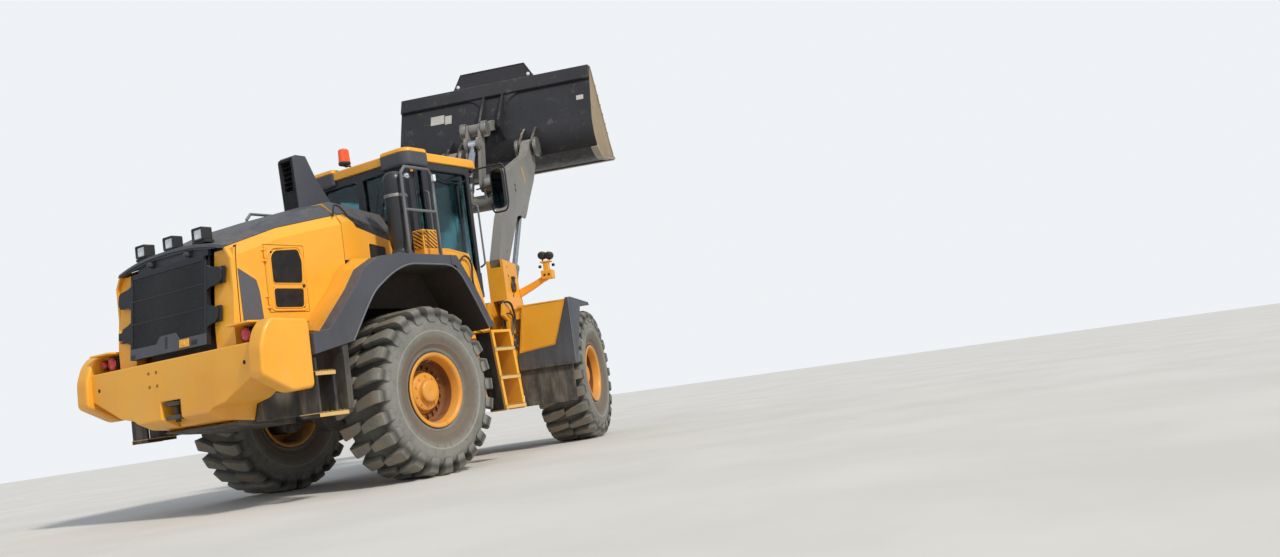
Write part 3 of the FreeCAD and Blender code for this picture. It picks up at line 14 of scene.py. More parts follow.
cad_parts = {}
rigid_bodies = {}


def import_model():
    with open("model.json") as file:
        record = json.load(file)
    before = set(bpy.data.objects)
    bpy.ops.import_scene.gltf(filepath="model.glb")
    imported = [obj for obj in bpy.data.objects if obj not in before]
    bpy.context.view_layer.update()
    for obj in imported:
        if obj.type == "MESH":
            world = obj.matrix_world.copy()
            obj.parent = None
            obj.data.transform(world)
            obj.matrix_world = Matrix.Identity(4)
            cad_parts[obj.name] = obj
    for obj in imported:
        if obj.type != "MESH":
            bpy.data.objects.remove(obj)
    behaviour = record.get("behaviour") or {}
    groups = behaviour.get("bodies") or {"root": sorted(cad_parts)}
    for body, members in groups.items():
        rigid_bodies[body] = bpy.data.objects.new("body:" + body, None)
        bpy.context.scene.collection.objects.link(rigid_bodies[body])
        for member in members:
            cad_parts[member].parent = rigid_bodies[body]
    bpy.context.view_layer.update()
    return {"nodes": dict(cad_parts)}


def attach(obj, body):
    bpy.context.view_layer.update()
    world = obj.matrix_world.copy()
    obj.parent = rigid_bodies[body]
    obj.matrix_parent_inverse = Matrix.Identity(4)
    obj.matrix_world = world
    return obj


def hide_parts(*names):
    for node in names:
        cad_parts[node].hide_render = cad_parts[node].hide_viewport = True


for start_object in list(bpy.data.objects):
    bpy.data.objects.remove(start_object)
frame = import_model()

SHIFT = Vector((-0.504253, -0.837279, 0))
STEER = math.radians(20.8)
REAR = Matrix.Translation(SHIFT)
FRONT = REAR @ Matrix.Rotation(STEER, 4, "Z")
MIRROR = Matrix.Diagonal((1, -1, 1, 1))
HANDS = ("left", "right")
SIDES = (-1, 1)
AHEAD, BACK, LEFT, UP = (1, 0, 0), (-1, 0, 0), (0, 1, 0), (0, 0, 1)

# Rounding of edges: the CAD nodes' own, the drawn pieces' own, and angles in degrees
NODE_EDGE, NODE_ANGLE, PIECE_ANGLE, FLAT_ANGLE = 0.005, 28, 30, 0.6
WELD_DISTANCE, NORMAL_WEIGHT = 0.00005, 60


# ---------------------------------------------------------------- materials

def linear(text):
    """Linear colour of a hexadecimal sRGB one."""
    values = [int(text[i:i + 2], 16) / 255 for i in (0, 2, 4)]
    return tuple(v / 12.92 if v <= 0.04045 else ((v + 0.055) / 1.055) ** 2.4 for v in values) + (1.0,)


def feed(tree, node, inputs):
    """Sets the inputs of a node: plain values, or sockets to link."""
    for key, value in inputs.items():
        if isinstance(value, bpy.types.NodeSocket):
            tree.links.new(value, node.inputs[key])
        else:
            node.inputs[key].default_value = value
    return node


def add_node(tree, kind, inputs, **settings):
    node = tree.nodes.new("ShaderNode" + kind)
    for key, value in settings.items():
        setattr(node, key, value)
    return feed(tree, node, inputs)


class Shader:
    """A small builder of node materials."""

    def __init__(self, name):
        self.material = bpy.data.materials.new(name)
        self.material.use_nodes = True
        self.tree = self.material.node_tree
        self.place = self.node("TexCoord", {}, "Object")

    def node(self, kind, inputs, output=0, **settings):
        return add_node(self.tree, kind, inputs, **settings).outputs[output]

    def noise(self, scale, detail=4, rough=0.55, stretch=None):
        source = self.node("Mapping", {"Vector": self.place, "Scale": stretch}) if stretch else self.place
        return self.node("TexNoise", {"Vector": source, "Scale": scale, "Detail": detail, "Roughness": rough}, "Fac")

    def ramp(self, value, low, high, to_low=0, to_high=1):
        limits = {"From Min": low, "From Max": high, "To Min": to_low, "To Max": to_high}
        return self.node("MapRange", {"Value": value, **limits}, "Result", interpolation_type="SMOOTHSTEP")

    def math(self, kind, a, b):
        return self.node("Math", {0: a, 1: b}, operation=kind, use_clamp=True)

    def times(self, a, b):
        return self.math("MULTIPLY", a, b)

    def near_ground(self):
        """One near the ground, zero from two metres up."""
        return self.ramp(self.node("SeparateXYZ", {0: self.place}, "Z"), 0.2, 2, 1, 0)

    def upward(self):
        """One on faces that look up, zero on the others."""
        normal = self.node("NewGeometry", {}, "Normal")
        return self.ramp(self.node("SeparateXYZ", {0: normal}, "Z"), 0.35, 0.95)

    def mix(self, share, a, b):
        return self.node("Mix", {0: share, 6: a, 7: b}, 2, data_type="RGBA")

    def bump(self, value, strength, distance):
        return self.node("Bump", {"Height": value, "Strength": strength, "Distance": distance}, "Normal")

    def roughness(self, value, low, high):
        return self.ramp(value, 0.3, 0.7, low, high)

    def surface(self, **inputs):
        feed(self.tree, self.tree.nodes["Principled BSDF"], {k.replace("_", " "): v for k, v in inputs.items()})
        return self.material


DUST = linear("A39782")


def painted(name, colour, shade, rough, dust, low_dust, coat, wear=None):
    """Sprayed steel or moulded plastic with dust on top faces and grime near the ground."""
    s = Shader(name)
    broad = s.noise(0.9, 5, 0.6)
    fine = s.noise(14, 6, 0.7)
    base = s.mix(s.ramp(broad, 0.35, 0.65), linear(colour), linear(shade))
    if wear:
        base = s.mix(s.ramp(s.noise(5, 8, 0.75), 0.56, 0.68), base, linear(wear))
    patches = s.ramp(s.times(broad, fine), 0.18, 0.34)
    top = s.times(s.upward(), s.times(patches, dust * 1.6))
    streak = s.ramp(s.noise(7, 6, 0.65, (1, 1, 0.3)), 0.38, 0.8)
    low = s.times(s.near_ground(), s.times(streak, low_dust * 0.75))
    return s.surface(Base_Color=s.mix(s.math("MAXIMUM", top, low), base, DUST), Roughness=s.roughness(fine, *rough),
                     Normal=s.bump(fine, 0.08, 0.004), Coat_Weight=coat, Coat_Roughness=0.2)


def steel(name, colour, shade, rough, metallic=0.85):
    s = Shader(name)
    fine = s.noise(22, 6, 0.7)
    return s.surface(Base_Color=s.mix(s.ramp(fine, 0.35, 0.7), linear(colour), linear(shade)),
                     Roughness=s.roughness(fine, *rough), Normal=s.bump(fine, 0.05, 0.002), Metallic=metallic)


def rubber(name):
    """Dusty rubber: grey sidewalls, a brown band towards the bead, pale rings and a muddy tread."""
    s = Shader(name)
    fine = s.noise(16, 8, 0.7)
    reach = s.node("Attribute", {}, "Fac", attribute_name="reach")

    def band(rise, fall, share):
        """A ring of the tyre between two ramps over the distance from its axle."""
        return s.times(s.times(s.ramp(reach, *rise), s.ramp(reach, *fall, 1, 0)), share)

    base = s.mix(s.ramp(s.noise(2.3, 4, 0.6), 0.35, 0.65), linear("75756F"), linear("86857E"))
    base = s.mix(s.ramp(fine, 0.5, 0.78), base, linear("5C5B57"))
    base = s.mix(band((0.4, 0.45), (0.52, 0.6), 0.8), base, linear("6E6053"))
    base = s.mix(band((0.597, 0.606), (0.612, 0.626), 0.6), base, linear("A39C8E"))
    base = s.mix(band((0.74, 0.8), (0.79, 0.865), 0.75), base, linear("37322C"))
    mud = s.times(s.ramp(reach, 0.845, 0.874), s.ramp(s.noise(5, 6, 0.7), 0.35, 0.65))
    return s.surface(Base_Color=s.mix(s.times(mud, 0.75), base, linear("8B7A62")),
                     Roughness=s.roughness(fine, 0.75, 0.95), Normal=s.bump(fine, 0.25, 0.006),
                     Specular_IOR_Level=0.25)


def woven(name, colour, shade):
    """Coarse seat cloth: crossed threads with a soft sheen."""
    s = Shader(name)
    threads = []
    for turn in ((0, 0, 0), (math.pi / 2, 0, math.pi / 2)):
        turned = s.node("Mapping", {"Vector": s.place, "Rotation": turn})
        threads.append(s.node("TexWave", {"Vector": turned, "Scale": 180, "Distortion": 0.6}, "Fac"))
    weave = s.times(*threads)
    share = s.math("MAXIMUM", weave, s.ramp(s.noise(3), 0.45, 0.7, 0, 0.6))
    return s.surface(Base_Color=s.mix(share, linear(colour), linear(shade)), Normal=s.bump(weave, 0.4, 0.001),
                     Roughness=0.9, Sheen_Weight=0.3)


def clear(name, tint, rough=0.03):
    s = Shader(name)
    streak = s.noise(5, 4, 0.6, (1, 1, 0.3))
    return s.surface(Base_Color=linear(tint), Roughness=s.roughness(streak, rough, rough + 0.12), IOR=1.45,
                     Transmission_Weight=1)


def lamp(name, colour, strength=0):
    s = Shader(name)
    glow = {"Emission_Color": linear(colour), "Emission_Strength": strength} if strength else {}
    return s.surface(Base_Color=linear(colour), Roughness=0.12, Coat_Weight=0.8, Specular_IOR_Level=0.6, **glow)


# look, its slot, and the material: name, colour, shade, roughness, dust on top, dust near the ground, coat, wear
PAINTS = (
    ("yellow", "yellow_paint", "yellow_paint", "F3AE33", "EBA228", (0.32, 0.5), 0.3, 0.35, 0.25),
    ("charcoal", "charcoal_trim", "charcoal_plastic", "4C4E54", "43454B", (0.5, 0.68), 0.16, 0.45, 0.05),
    ("black", "dark_steel", "black_steel", "232326", "2B2A2B", (0.5, 0.7), 0.5, 0.7, 0),
    ("grille", "black_mesh", "grille_black", "1C1D21", "222328", (0.45, 0.6), 0.25, 0.15, 0),
    ("bucket", "bucket_steel", "bucket_steel", "1E1E21", "2A292D", (0.45, 0.7), 0.6, 0, 0, "4A4642"),
    ("worn", "bucket_steel", "worn_steel", "A08C6E", "8C7A60", (0.5, 0.75), 0.5, 0, 0, "6C6054"),
    ("boom", "boom_grey", "boom_grey", "83817C", "76746F", (0.45, 0.62), 0.4, 0.3, 0.05, "857C6C"),
    ("machinery", "machinery", "machinery_grey", "4A4744", "3C3A38", (0.5, 0.7), 0.6, 0.7, 0),
    ("interior", "interior", "cab_interior", "2C2E33", "24262A", (0.7, 0.85), 0.1, 0, 0),
    ("rim", "rim_paint", "rim_yellow", "E39A2C", "D98F26", (0.4, 0.6), 0.5, 0.45, 0.1, "C48C3C"),
    ("grimy", "machinery", "grimy_steel", "4E4338", "37312B", (0.55, 0.8), 0.5, 0.4, 0),
    ("worn_edge", "bucket_steel", "worn_edge_steel", "A89A84", "8C8070", (0.4, 0.65), 0.4, 0, 0, "6E655A"),
    ("mesh", "black_mesh", "vent_mesh", "25262B", "1D1E22", (0.5, 0.7), 0.3, 0.2, 0),
    ("plate_grey", "charcoal_trim", "plain_plate", "56585F", "4D4F56", (0.45, 0.6), 0.25, 0.2, 0.1),
    ("strip_black", "charcoal_trim", "plain_strip", "1E1F23", "25262A", (0.35, 0.5), 0.25, 0, 0.2),
    # Reddish brown for the wheel nuts and the rim's well: partly real rust, partly painted shade inside the rim's dish
    ("rust_and_painted_shade", "dark_steel", "rust_brown_with_painted_shade", "8A5020", "5E3518", (0.6, 0.85), 0.3, 0.3, 0),
    ("cab_black", "dark_steel", "cab_frame_black", "303237", "292B2F", (0.45, 0.62), 0.2, 0.3, 0.1),
    ("soot", "black_mesh", "soot_black", "17171A", "1E1D1D", (0.7, 0.9), 0.1, 0, 0),
    ("liner", "black_mesh", "arch_liner", "2A221C", "352B23", (0.75, 0.95), 0.2, 0.5, 0, "443830"),
    ("fold", "charcoal_trim", "folded_edge", "6A6C72", "5C5E64", (0.5, 0.65), 0.4, 0.3, 0),
    ("flap", "tyre", "mudflap_rubber", "46433F", "3A3835", (0.7, 0.9), 0.3, 1, 0),
    # Pale cream step treads: partly real wear, partly painted sunlight on their tops
    ("tread", "yellow_paint", "worn_and_sunlit_tread", "D9B26A", "C9A25E", (0.5, 0.75), 0.7, 0.5, 0, "8F8068"),
    ("rail", "charcoal_trim", "rail_grey", "6C6D70", "5B5D60", (0.35, 0.5), 0.3, 0.1, 0.1),
    ("gasket", "charcoal_trim", "window_gasket", "1B1C1F", "232427", (0.6, 0.8), 0.2, 0, 0),
    ("hose", "dark_steel", "hydraulic_hose", "1D1C1C", "292726", (0.5, 0.75), 0.5, 0.3, 0),
    ("stripe", "yellow_paint", "plain_stripe", "E3A73C", "D89A34", (0.4, 0.6), 0.3, 0, 0.1),
    ("blank", "bucket_steel", "plain_pale_plate", "B9B6AE", "A5A29A", (0.4, 0.6), 0.4, 0, 0.1),
)
OTHERS = (
    ("chrome", "chrome_rod", steel("chrome_rod", "D8DADC", "B9BCC0", (0.08, 0.2), 1)),
    ("zinc", "chrome_rod", steel("zinc_steel", "A8A69E", "7E7B74", (0.35, 0.55))),
    ("mirror", "chrome_rod", steel("mirror_glass", "3C3F43", "35383B", (0.05, 0.1), 1)),
    ("rubber", "tyre", rubber("tyre_rubber")),
    ("glass", "glass", clear("teal_glass", "86B0B6")),
    ("fabric", "interior", woven("seat_fabric", "2B2D31", "3A3C40")),
    ("red", "lamp_red", lamp("red_lens", "C4121C")),
    ("orange", "lamp_red", lamp("orange_lens", "F0540F", 0.15)),
    ("amber", "lamp_red", lamp("amber_lens", "F29A12", 0.1)),
    ("white", "lamp_red", lamp("white_lens", "DDE3E6")),
)
M = {look: painted(*paint) for look, _, *paint in PAINTS}
M.update((look, material) for look, _, material in OTHERS)

# Looks of the CAD nodes
LOOKS = {
    "machinery": "rear_chassis front_axle rear_axle engine_block steer_barrel_left steer_barrel_right",
    "yellow": "counterweight hood_sides service_door_left service_door_right cowl rear_fenders cab_access cab_roof "
              "front_chassis front_fenders lamp_arms",
    "charcoal": "hood_top exhaust_stack rear_fender_trim front_fender_trim",
    "black": "rear_steps cab_base mirrors", "cab_black": "cab_frame cab_door", "glass": "cab_glass cab_door_glass",
    "grille": "grille", "strip_black": "precleaner", "rail": "handrails", "red": "tail_lamps",
    "interior": "cab_interior", "bucket": "bucket", "zinc": "lever_pin link_pin bucket_pins tilt_pin",
    "boom": "boom lever link tilt_barrel lift_barrel_left lift_barrel_right",
    "chrome": "tilt_rod lift_rod_left lift_rod_right steer_rod_left steer_rod_right",
    "rim": "front_left_rim front_right_rim rear_left_rim rear_right_rim",
    "rubber": "front_left_tyre front_right_tyre rear_left_tyre rear_right_tyre",
}
ROUNDING = {"cab_glass": 0, "cab_door_glass": 0, "counterweight": 0.022, "boom": 0.007, "hood_sides": 0.007,
            "handrails": 0, "steer_barrel_left": 0.003, "steer_barrel_right": 0.003}


def soften(obj, width, angle, segments=2):
    """Rounded edges and even shading, as modifiers on top of the mesh."""
    if width:
        bevel = obj.modifiers.new("bevel", "BEVEL")
        bevel.width = width
        bevel.segments = segments
        bevel.limit_method = "ANGLE"
        bevel.angle_limit = math.radians(angle)
        bevel.use_clamp_overlap = True
    obj.modifiers.new("normals", "WEIGHTED_NORMAL").weight = NORMAL_WEIGHT


def dress_node(node, look, width):
    """A CAD node's look: smooth shading without its own normals, welded faces and rounded edges."""
    mesh = node.data
    mesh.materials.clear()
    mesh.materials.append(M[look])
    if mesh.has_custom_normals:
        mesh.attributes.remove(mesh.attributes["custom_normal"])
    mesh.polygons.foreach_set("use_smooth", [True] * len(mesh.polygons))
    for edge in mesh.edges:
        edge.use_edge_sharp = False
    node.modifiers.new("weld", "WELD").merge_threshold = WELD_DISTANCE
    flat = node.modifiers.new("flat", "DECIMATE")
    flat.decimate_type = "DISSOLVE"
    flat.angle_limit = math.radians(FLAT_ANGLE)
    soften(node, width, NODE_ANGLE)


for look, names in LOOKS.items():
    for name in names.split():
        dress_node(frame["nodes"][name], look, ROUNDING.get(name, NODE_EDGE))


# ---------------------------------------------------------------- building detailed pieces

def frame_of(tangent, up=Vector(UP)):
    """Two directions across a tangent."""
    side = tangent.cross(up)
    if side.length < 0.05:
        side = tangent.cross(Vector(LEFT))
    side.normalize()
    return side, side.cross(tangent).normalized()


def circle(centre, u, v, radius, sides):
    """Points round a centre, across the directions u and v."""
    return [centre + (u * math.cos(a) + v * math.sin(a)) * radius
            for a in (2 * math.pi * k / sides for k in range(sides))]


def corner(a, b, c, reach, steps):
    """Points of a short curve that cuts the corner b."""
    start = b + (a - b).normalized() * reach
    end = b + (c - b).normalized() * reach
    return [start * (1 - t) ** 2 + b * 2 * t * (1 - t) + end * t * t for t in (k / steps for k in range(steps + 1))]


def rounded_path(points, steps):
    """An open path with rounded corners."""
    if steps < 2 or len(points) < 3:
        return points
    path = [points[0]]
    for a, b, c in zip(points, points[1:], points[2:]):
        path += corner(a, b, c, 0.42 * min((b - a).length, (c - b).length), steps)
    return path + [points[-1]]


def round_outline(points, radius, steps=4):
    """A closed flat outline with rounded corners."""
    flat = [Vector(p) for p in points]
    result = []
    for a, b, c in zip(flat[-1:] + flat, flat, flat[1:] + flat[:1]):
        reach = min(radius, 0.45 * (b - a).length, 0.45 * (c - b).length)
        result += [tuple(p) for p in corner(a, b, c, reach, steps)]
    return result


def rectangle(a0, a1, b0, b1):
    return [(a0, b0), (a1, b0), (a1, b1), (a0, b1)]


def panel(a0, a1, b0, b1, radius, steps=4):
    """A flat rectangle with rounded corners."""
    return round_outline(rectangle(a0, a1, b0, b1), radius, steps)


def stand(outline, axis, level):
    """A flat outline, put across an axis at a place along it."""
    order = {"x": lambda a, b: (level, a, b), "y": lambda a, b: (a, level, b), "z": lambda a, b: (a, b, level)}[axis]
    return [order(a, b) for a, b in outline]


def scaled(outline, centre, share):
    return [(centre[0] + (a - centre[0]) * share, centre[1] + (b - centre[1]) * share) for a, b in outline]


class Piece:
    """One visible piece, gathered from lofts, plates, tubes and turned forms.

    With a hand it is drawn on the left and mirrored when the hand is the right one.
    """

    def __init__(self, name, hand=None):
        self.name = name + "_" + hand if hand else name
        self.flip = hand == "right"
        self.mesh = bmesh.new()

    def loft(self, rings, close=False):
        rows = [[self.mesh.verts.new(p) for p in ring] for ring in rings]
        for a, b in list(zip(rows, rows[1:])) + ([(rows[-1], rows[0])] if close else []):
            for k in range(len(a)):
                self.mesh.faces.new((a[k - 1], a[k], b[k], b[k - 1]))
        if not close:
            self.mesh.faces.new(rows[0][::-1])
            self.mesh.faces.new(rows[-1])
        return self

    def prism(self, points, axis, low, high):
        return self.loft([stand(points, axis, level) for level in sorted((low, high))])

    def stack(self, outline, axis, centre, levels):
        """An outline lofted through levels of (place along the axis, share of its size)."""
        return self.loft([stand(scaled(outline, centre, share), axis, level) for level, share in levels])

    def box(self, x0, x1, y0, y1, z0, z1):
        return self.prism(rectangle(x0, x1, *sorted((y0, y1))), "z", z0, z1)

    def turned(self, profile, origin, axis=LEFT, sides=48, close=False):
        """A profile of (radius, distance along the axis) turned about it."""
        origin, axis = Vector(origin), Vector(axis).normalized()
        u, v = frame_of(axis)
        return self.loft([circle(origin + axis * along, u, v, max(radius, 0.0004), sides) for radius, along in profile],
                         close)

    def rod(self, start, end, radius, sides=20):
        start, end = Vector(start), Vector(end)
        return self.turned([(radius, 0), (radius, (end - start).length)], start, end - start, sides)

    def bolt(self, at, axis, radius, height, washer=1.35):
        """Hexagon head on its washer."""
        self.turned([(radius * washer, 0), (radius * washer, height * 0.25)], at, axis, 16)
        return self.turned([(radius, height * 0.2), (radius, height * 0.9), (radius * 0.86, height)], at, axis, 6)

    def tube(self, points, radius, sides=10, steps=6):
        """A bent tube whose corners are rounded."""
        path = rounded_path([Vector(p) for p in points], steps)
        rings = []
        side = frame_of((path[1] - path[0]).normalized())[0]
        for k, p in enumerate(path):
            t = (path[min(k + 1, len(path) - 1)] - path[max(k - 1, 0)]).normalized()
            side = (side - t * side.dot(t)).normalized()
            rings.append(circle(p, side, side.cross(t), radius, sides))
        return self.loft(rings)

    def bead(self, points, radius, sides=8):
        """A bead along a closed line."""
        path = [Vector(p) for p in points]
        ahead = path[1:] + path[:1]
        return self.loft([circle(p, *frame_of((ahead[k] - path[k - 1]).normalized(), Vector(LEFT)), radius, sides)
                          for k, p in enumerate(path)], close=True)

    def done(self, look, body="rear_frame", edge=0, slot=None, segments=2, stands_for=(), place=None):
        """The finished piece on its body, with rounded edges, its material, and the nodes that it replaces."""
        bmesh.ops.recalc_face_normals(self.mesh, faces=self.mesh.faces)
        place = place or PLACES.get(body, REAR)
        reach = [math.hypot(v.co.x, v.co.z) for v in self.mesh.verts] if look == "rubber" else None
        self.mesh.transform(place @ MIRROR if self.flip else place)
        if self.flip:
            bmesh.ops.recalc_face_normals(self.mesh, faces=self.mesh.faces)
        data = bpy.data.meshes.new(self.name)
        self.mesh.to_mesh(data)
        self.mesh.free()
        if reach:
            data.attributes.new("reach", "FLOAT", "POINT").data.foreach_set("value", reach)
        obj = bpy.data.objects.new(self.name, data)
        bpy.context.scene.collection.objects.link(obj)
        data.materials.append(M[look])
        data.polygons.foreach_set("use_smooth", [True] * len(data.polygons))
        soften(obj, edge, PIECE_ANGLE, segments)
        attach(obj, body)
        if stands_for:
            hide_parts(*stands_for)
        return obj


BOOM_PIVOT, BOOM_ANGLE, BOOM_LENGTH = (0.85, 2.15), math.radians(48.7), 3.09
BUCKET_ANGLE = math.radians(10)


def on_arm(centre, angle):
    """Matrix of pieces drawn along a tilted arm of the front half."""
    return FRONT @ Matrix.Translation((centre[0], 0, centre[1])) @ Matrix.Rotation(-angle, 4, "Y")


BUCKET_PIVOT = (BOOM_PIVOT[0] + BOOM_LENGTH * math.cos(BOOM_ANGLE), BOOM_PIVOT[1] + BOOM_LENGTH * math.sin(BOOM_ANGLE))
PLACES = {"front_frame": FRONT, "boom_arms": on_arm(BOOM_PIVOT, BOOM_ANGLE),
          "bucket_shell": on_arm(BUCKET_PIVOT, BUCKET_ANGLE)}


# ---------------------------------------------------------------- wheels

WHEELS = (("rear", REAR, -1.775), ("front", FRONT, 1.775))
TRACK, AXLE_Z, LUGS = 1.14, 0.88, 24
# Section of one lug row: (distance from the middle, tip radius, root radius, half width in pitches, slant in pitches)
LUG_ROWS = ((0.004, 0.874, 0.8, 0.16, 0.36), (0.03, 0.88, 0.8, 0.19, 0.31), (0.12, 0.88, 0.8, 0.235, 0.17),
            (0.215, 0.88, 0.795, 0.26, 0.06), (0.27, 0.8795, 0.78, 0.27, 0), (0.318, 0.856, 0.74, 0.262, 0),
            (0.3345, 0.812, 0.72, 0.245, 0), (0.3372, 0.745, 0.705, 0.205, 0))
CASING = ((0.352, 0.236), (0.392, 0.262), (0.412, 0.281), (0.428, 0.2845), (0.436, 0.281), (0.47, 0.301),
          (0.478, 0.309), (0.488, 0.3095), (0.498, 0.31), (0.56, 0.3265), (0.6, 0.3315), (0.606, 0.3365),
          (0.618, 0.337), (0.626, 0.333), (0.68, 0.3335), (0.715, 0.326), (0.752, 0.305), (0.783, 0.272),
          (0.803, 0.225), (0.812, 0.12), (0.814, 0))
RIM = ((0.3228, 0.2), (0.336, 0.226), (0.34, 0.262), (0.352, 0.284), (0.372, 0.2915), (0.388, 0.2895),
       (0.3915, 0.281), (0.388, 0.268), (0.3448, 0.264), (0.3446, 0), (0.3446, -0.264), (0.388, -0.268),
       (0.3915, -0.281), (0.388, -0.2895), (0.366, -0.289), (0.345, -0.262), (0.3228, -0.21), (0.3228, -0.006),
       (0.3, -0.004), (0.0953, -0.004), (0.0953, 0.085), (0.002, 0.085), (0.002, 0.205), (0.05, 0.205),
       (0.056, 0.2085), (0.092, 0.2075), (0.112, 0.2), (0.12, 0.184), (0.124, 0.15), (0.15, 0.144), (0.186, 0.138),
       (0.2, 0.126), (0.206, 0.098), (0.214, 0.072), (0.236, 0.068), (0.286, 0.068), (0.3, 0.074), (0.314, 0.09),
       (0.3228, 0.11))
# The rim's well and inner wall, coloured rust brown: partly real rust, partly painted shade inside the dish
RIM_WELL_RUST_AND_SHADE = ((0.224, 0.066), (0.224, 0.07), (0.286, 0.0702), (0.2992, 0.076), (0.3128, 0.0912), (0.3216, 0.1105),
            (0.3216, 0.19), (0.3232, 0.19), (0.3232, 0.108), (0.316, 0.088), (0.302, 0.072), (0.29, 0.066))
LOCK_RING = ((0.33, 0.206), (0.329, 0.212), (0.333, 0.218), (0.3366, 0.224), (0.334, 0.206))
HUB = (0, 0, 0)


def tyre(name, body, place):
    piece = Piece("tyre_" + name)
    profile = [*CASING, *((r, -y) for r, y in CASING[-2::-1]), (0.346, -0.2), (0.346, 0.2)]
    piece.turned(profile, HUB, LEFT, 120, True)
    pitch = 2 * math.pi / LUGS
    for side, turn in ((1, 0), (-1, 0.5)):
        for k in range(LUGS):
            rings = []
            for y, tip, root, half, slant in LUG_ROWS:
                middle = (k + turn + side * slant) * pitch
                flanks = ((root, -half * 1.12), (tip, -half), (tip, half), (root, half * 1.12))
                rings.append([(r * math.sin(middle + edge * pitch), side * y, -r * math.cos(middle + edge * pitch))
                              for r, edge in flanks])
            piece.loft(rings)
    piece.done("rubber", body, edge=0.007, stands_for=(name + "_tyre",), place=place)


def rim(name, body, place):
    piece = Piece("rim_" + name).turned(RIM, HUB, LEFT, 72, True)
    for a in (2 * math.pi * k / 10 for k in range(10)):
        piece.bolt((0.158 * math.sin(a), 0.14, 0.158 * math.cos(a)), (0.12 * math.sin(a), 1, 0.12 * math.cos(a)),
                   0.011, 0.014)
    piece.done("rim", body, stands_for=(name + "_rim",), place=place)
    nuts = Piece("rim_%s_nuts" % name)
    for a in (2 * math.pi * (k + 0.5) / 20 for k in range(20)):
        nuts.bolt((0.258 * math.sin(a), 0.067, 0.258 * math.cos(a)), LEFT, 0.017, 0.036, 1.25)
    nuts.turned(RIM_WELL_RUST_AND_SHADE, HUB, LEFT, 72, True).done("rust_and_painted_shade", body, place=place)
    ring = Piece("rim_%s_lock_ring" % name).turned(LOCK_RING, HUB, LEFT, 72, True)
    ring.rod((0, 0.15, 0.3), (0, 0.236, 0.312), 0.006, 10).done("worn_edge", body, slot="rim_paint", place=place)


for end, half_place, x in WHEELS:
    for hand, s in zip(HANDS, (1, -1)):
        name = "%s_%s" % (end, hand)
        hub = half_place @ Matrix.Translation((x, s * TRACK, AXLE_Z))
        if s < 0:
            hub = hub @ MIRROR
        tyre(name, name + "_wheel", hub)
        rim(name, name + "_wheel", hub)


# ---------------------------------------------------------------- rear end: ballast, grille, lamps

def on_grille(y, z, out=0):
    """A point on the leaning face of the grille, or some way out of it."""
    return (-3.825 + (z - 1.53) * 0.10465 - out, y, z)


def grille_plate(piece, outline, low, high):
    piece.loft([[on_grille(y, z, out) for y, z in outline] for out in (low, high)])


p = Piece("ballast_casting")
rings = []
for x, low, notch in ((-3.85, 0.94, 1.11), (-3.705, 0.865, 1.11), (-3.66, 0.858, 0.858), (-3.345, 0.82, 0.82)):
    half = [(1.262, 1.5), (1.262, 1.232), (0.8, 1.01), (0.6, 0.97), (0.545, low), (0.15, low), (0.15, notch)]
    rings.append([(x, y, z) for y, z in half] + [(x, -y, z) for y, z in half[::-1]])
p.loft(rings)
wing = round_outline([(-3.916, 1.18), (-3.6, 1.012), (-3.345, 1.03), (-3.345, 1.67), (-3.77, 1.692), (-3.85, 1.6),
                      (-3.908, 1.44)], 0.045)
for s in SIDES:
    p.stack(wing, "y", (-3.6, 1.36), [(s * y, share) for y, share in (
        (1.24, 0.955), (1.258, 0.985), (1.29, 1), (1.4, 1), (1.424, 0.97), (1.43, 0.9))])
    p.box(-3.66, -3.345, s * 0.912, s * 1.262, 1.49, 1.68)
p.done("yellow", edge=0.014, segments=3, stands_for=("counterweight",))

p = Piece("lamp_shelf")
for s in (1, -1):
    p.prism([(-3.862, 1.672), (-3.855, 1.692), (-3.64, 1.69), (-3.64, 1.668)], "y", s * 0.912, s * 1.232)
p.done("yellow", edge=0.006)

p = Piece("tow_hitch")
for z in (0.93, 1.06):
    p.prism(round_outline([(-3.842, -0.12), (-3.842, 0.12), (-3.68, 0.14), (-3.68, -0.14)], 0.05), "z", z, z + 0.04)
p.rod((-3.78, 0, 0.9), (-3.78, 0, 1.108), 0.0255).done("grimy", edge=0.004)

p = Piece("plate_bolts")
for y in (0.17, 0.29):
    for z in (1.27, 1.4):
        p.turned([(0.014, -0.004), (0.014, 0.003), (0.009, 0.003), (0.008, -0.003)], (-3.85, y, z), BACK, 16)
for y in (1.12, -1.12):
    p.turned([(0.02, -0.004), (0.02, 0.002), (0.014, 0.003)], (-3.85, y, 1.33), BACK, 20)
p.done("black")

p = Piece("lower_guard")
p.prism([(-3.6, 0.815), (-3.36, 0.78), (-2.85, 0.74), (-2.85, 0.9), (-3.36, 0.9)], "y", -0.52, 0.52)
for s in (1, -1):
    p.prism(rectangle(-3.34, -2.8, 0.8, 1.05), "y", s * 0.52, s * 0.66)
p.done("machinery", edge=0.01)

lens, bezel = Piece("tail_lenses"), Piece("tail_bezels")
for s in SIDES:
    for y, r in ((1.04, 0.066), (1.172, 0.042)):
        at = (-3.735, s * y, 1.585)
        lens.turned([(r, -0.06), (r, 0.004), (r * 0.93, 0.014), (r * 0.6, 0.021), (0.004, 0.024)], at, BACK, 40)
        for ring in (0.35, 0.6, 0.8):
            lens.turned([(r * ring, 0.016), (r * ring, 0.026 - 0.008 * ring), (r * ring + 0.003, 0.024 - 0.008 * ring)],
                        at, BACK, 40)
        bezel.turned([(r + 0.01, -0.075), (r + 0.01, 0.004), (r + 0.002, 0.008), (r + 0.001, -0.07)], at, BACK, 40,
                     True)
lens.done("red", stands_for=("tail_lamps",))
bezel.done("black", slot="charcoal_trim")

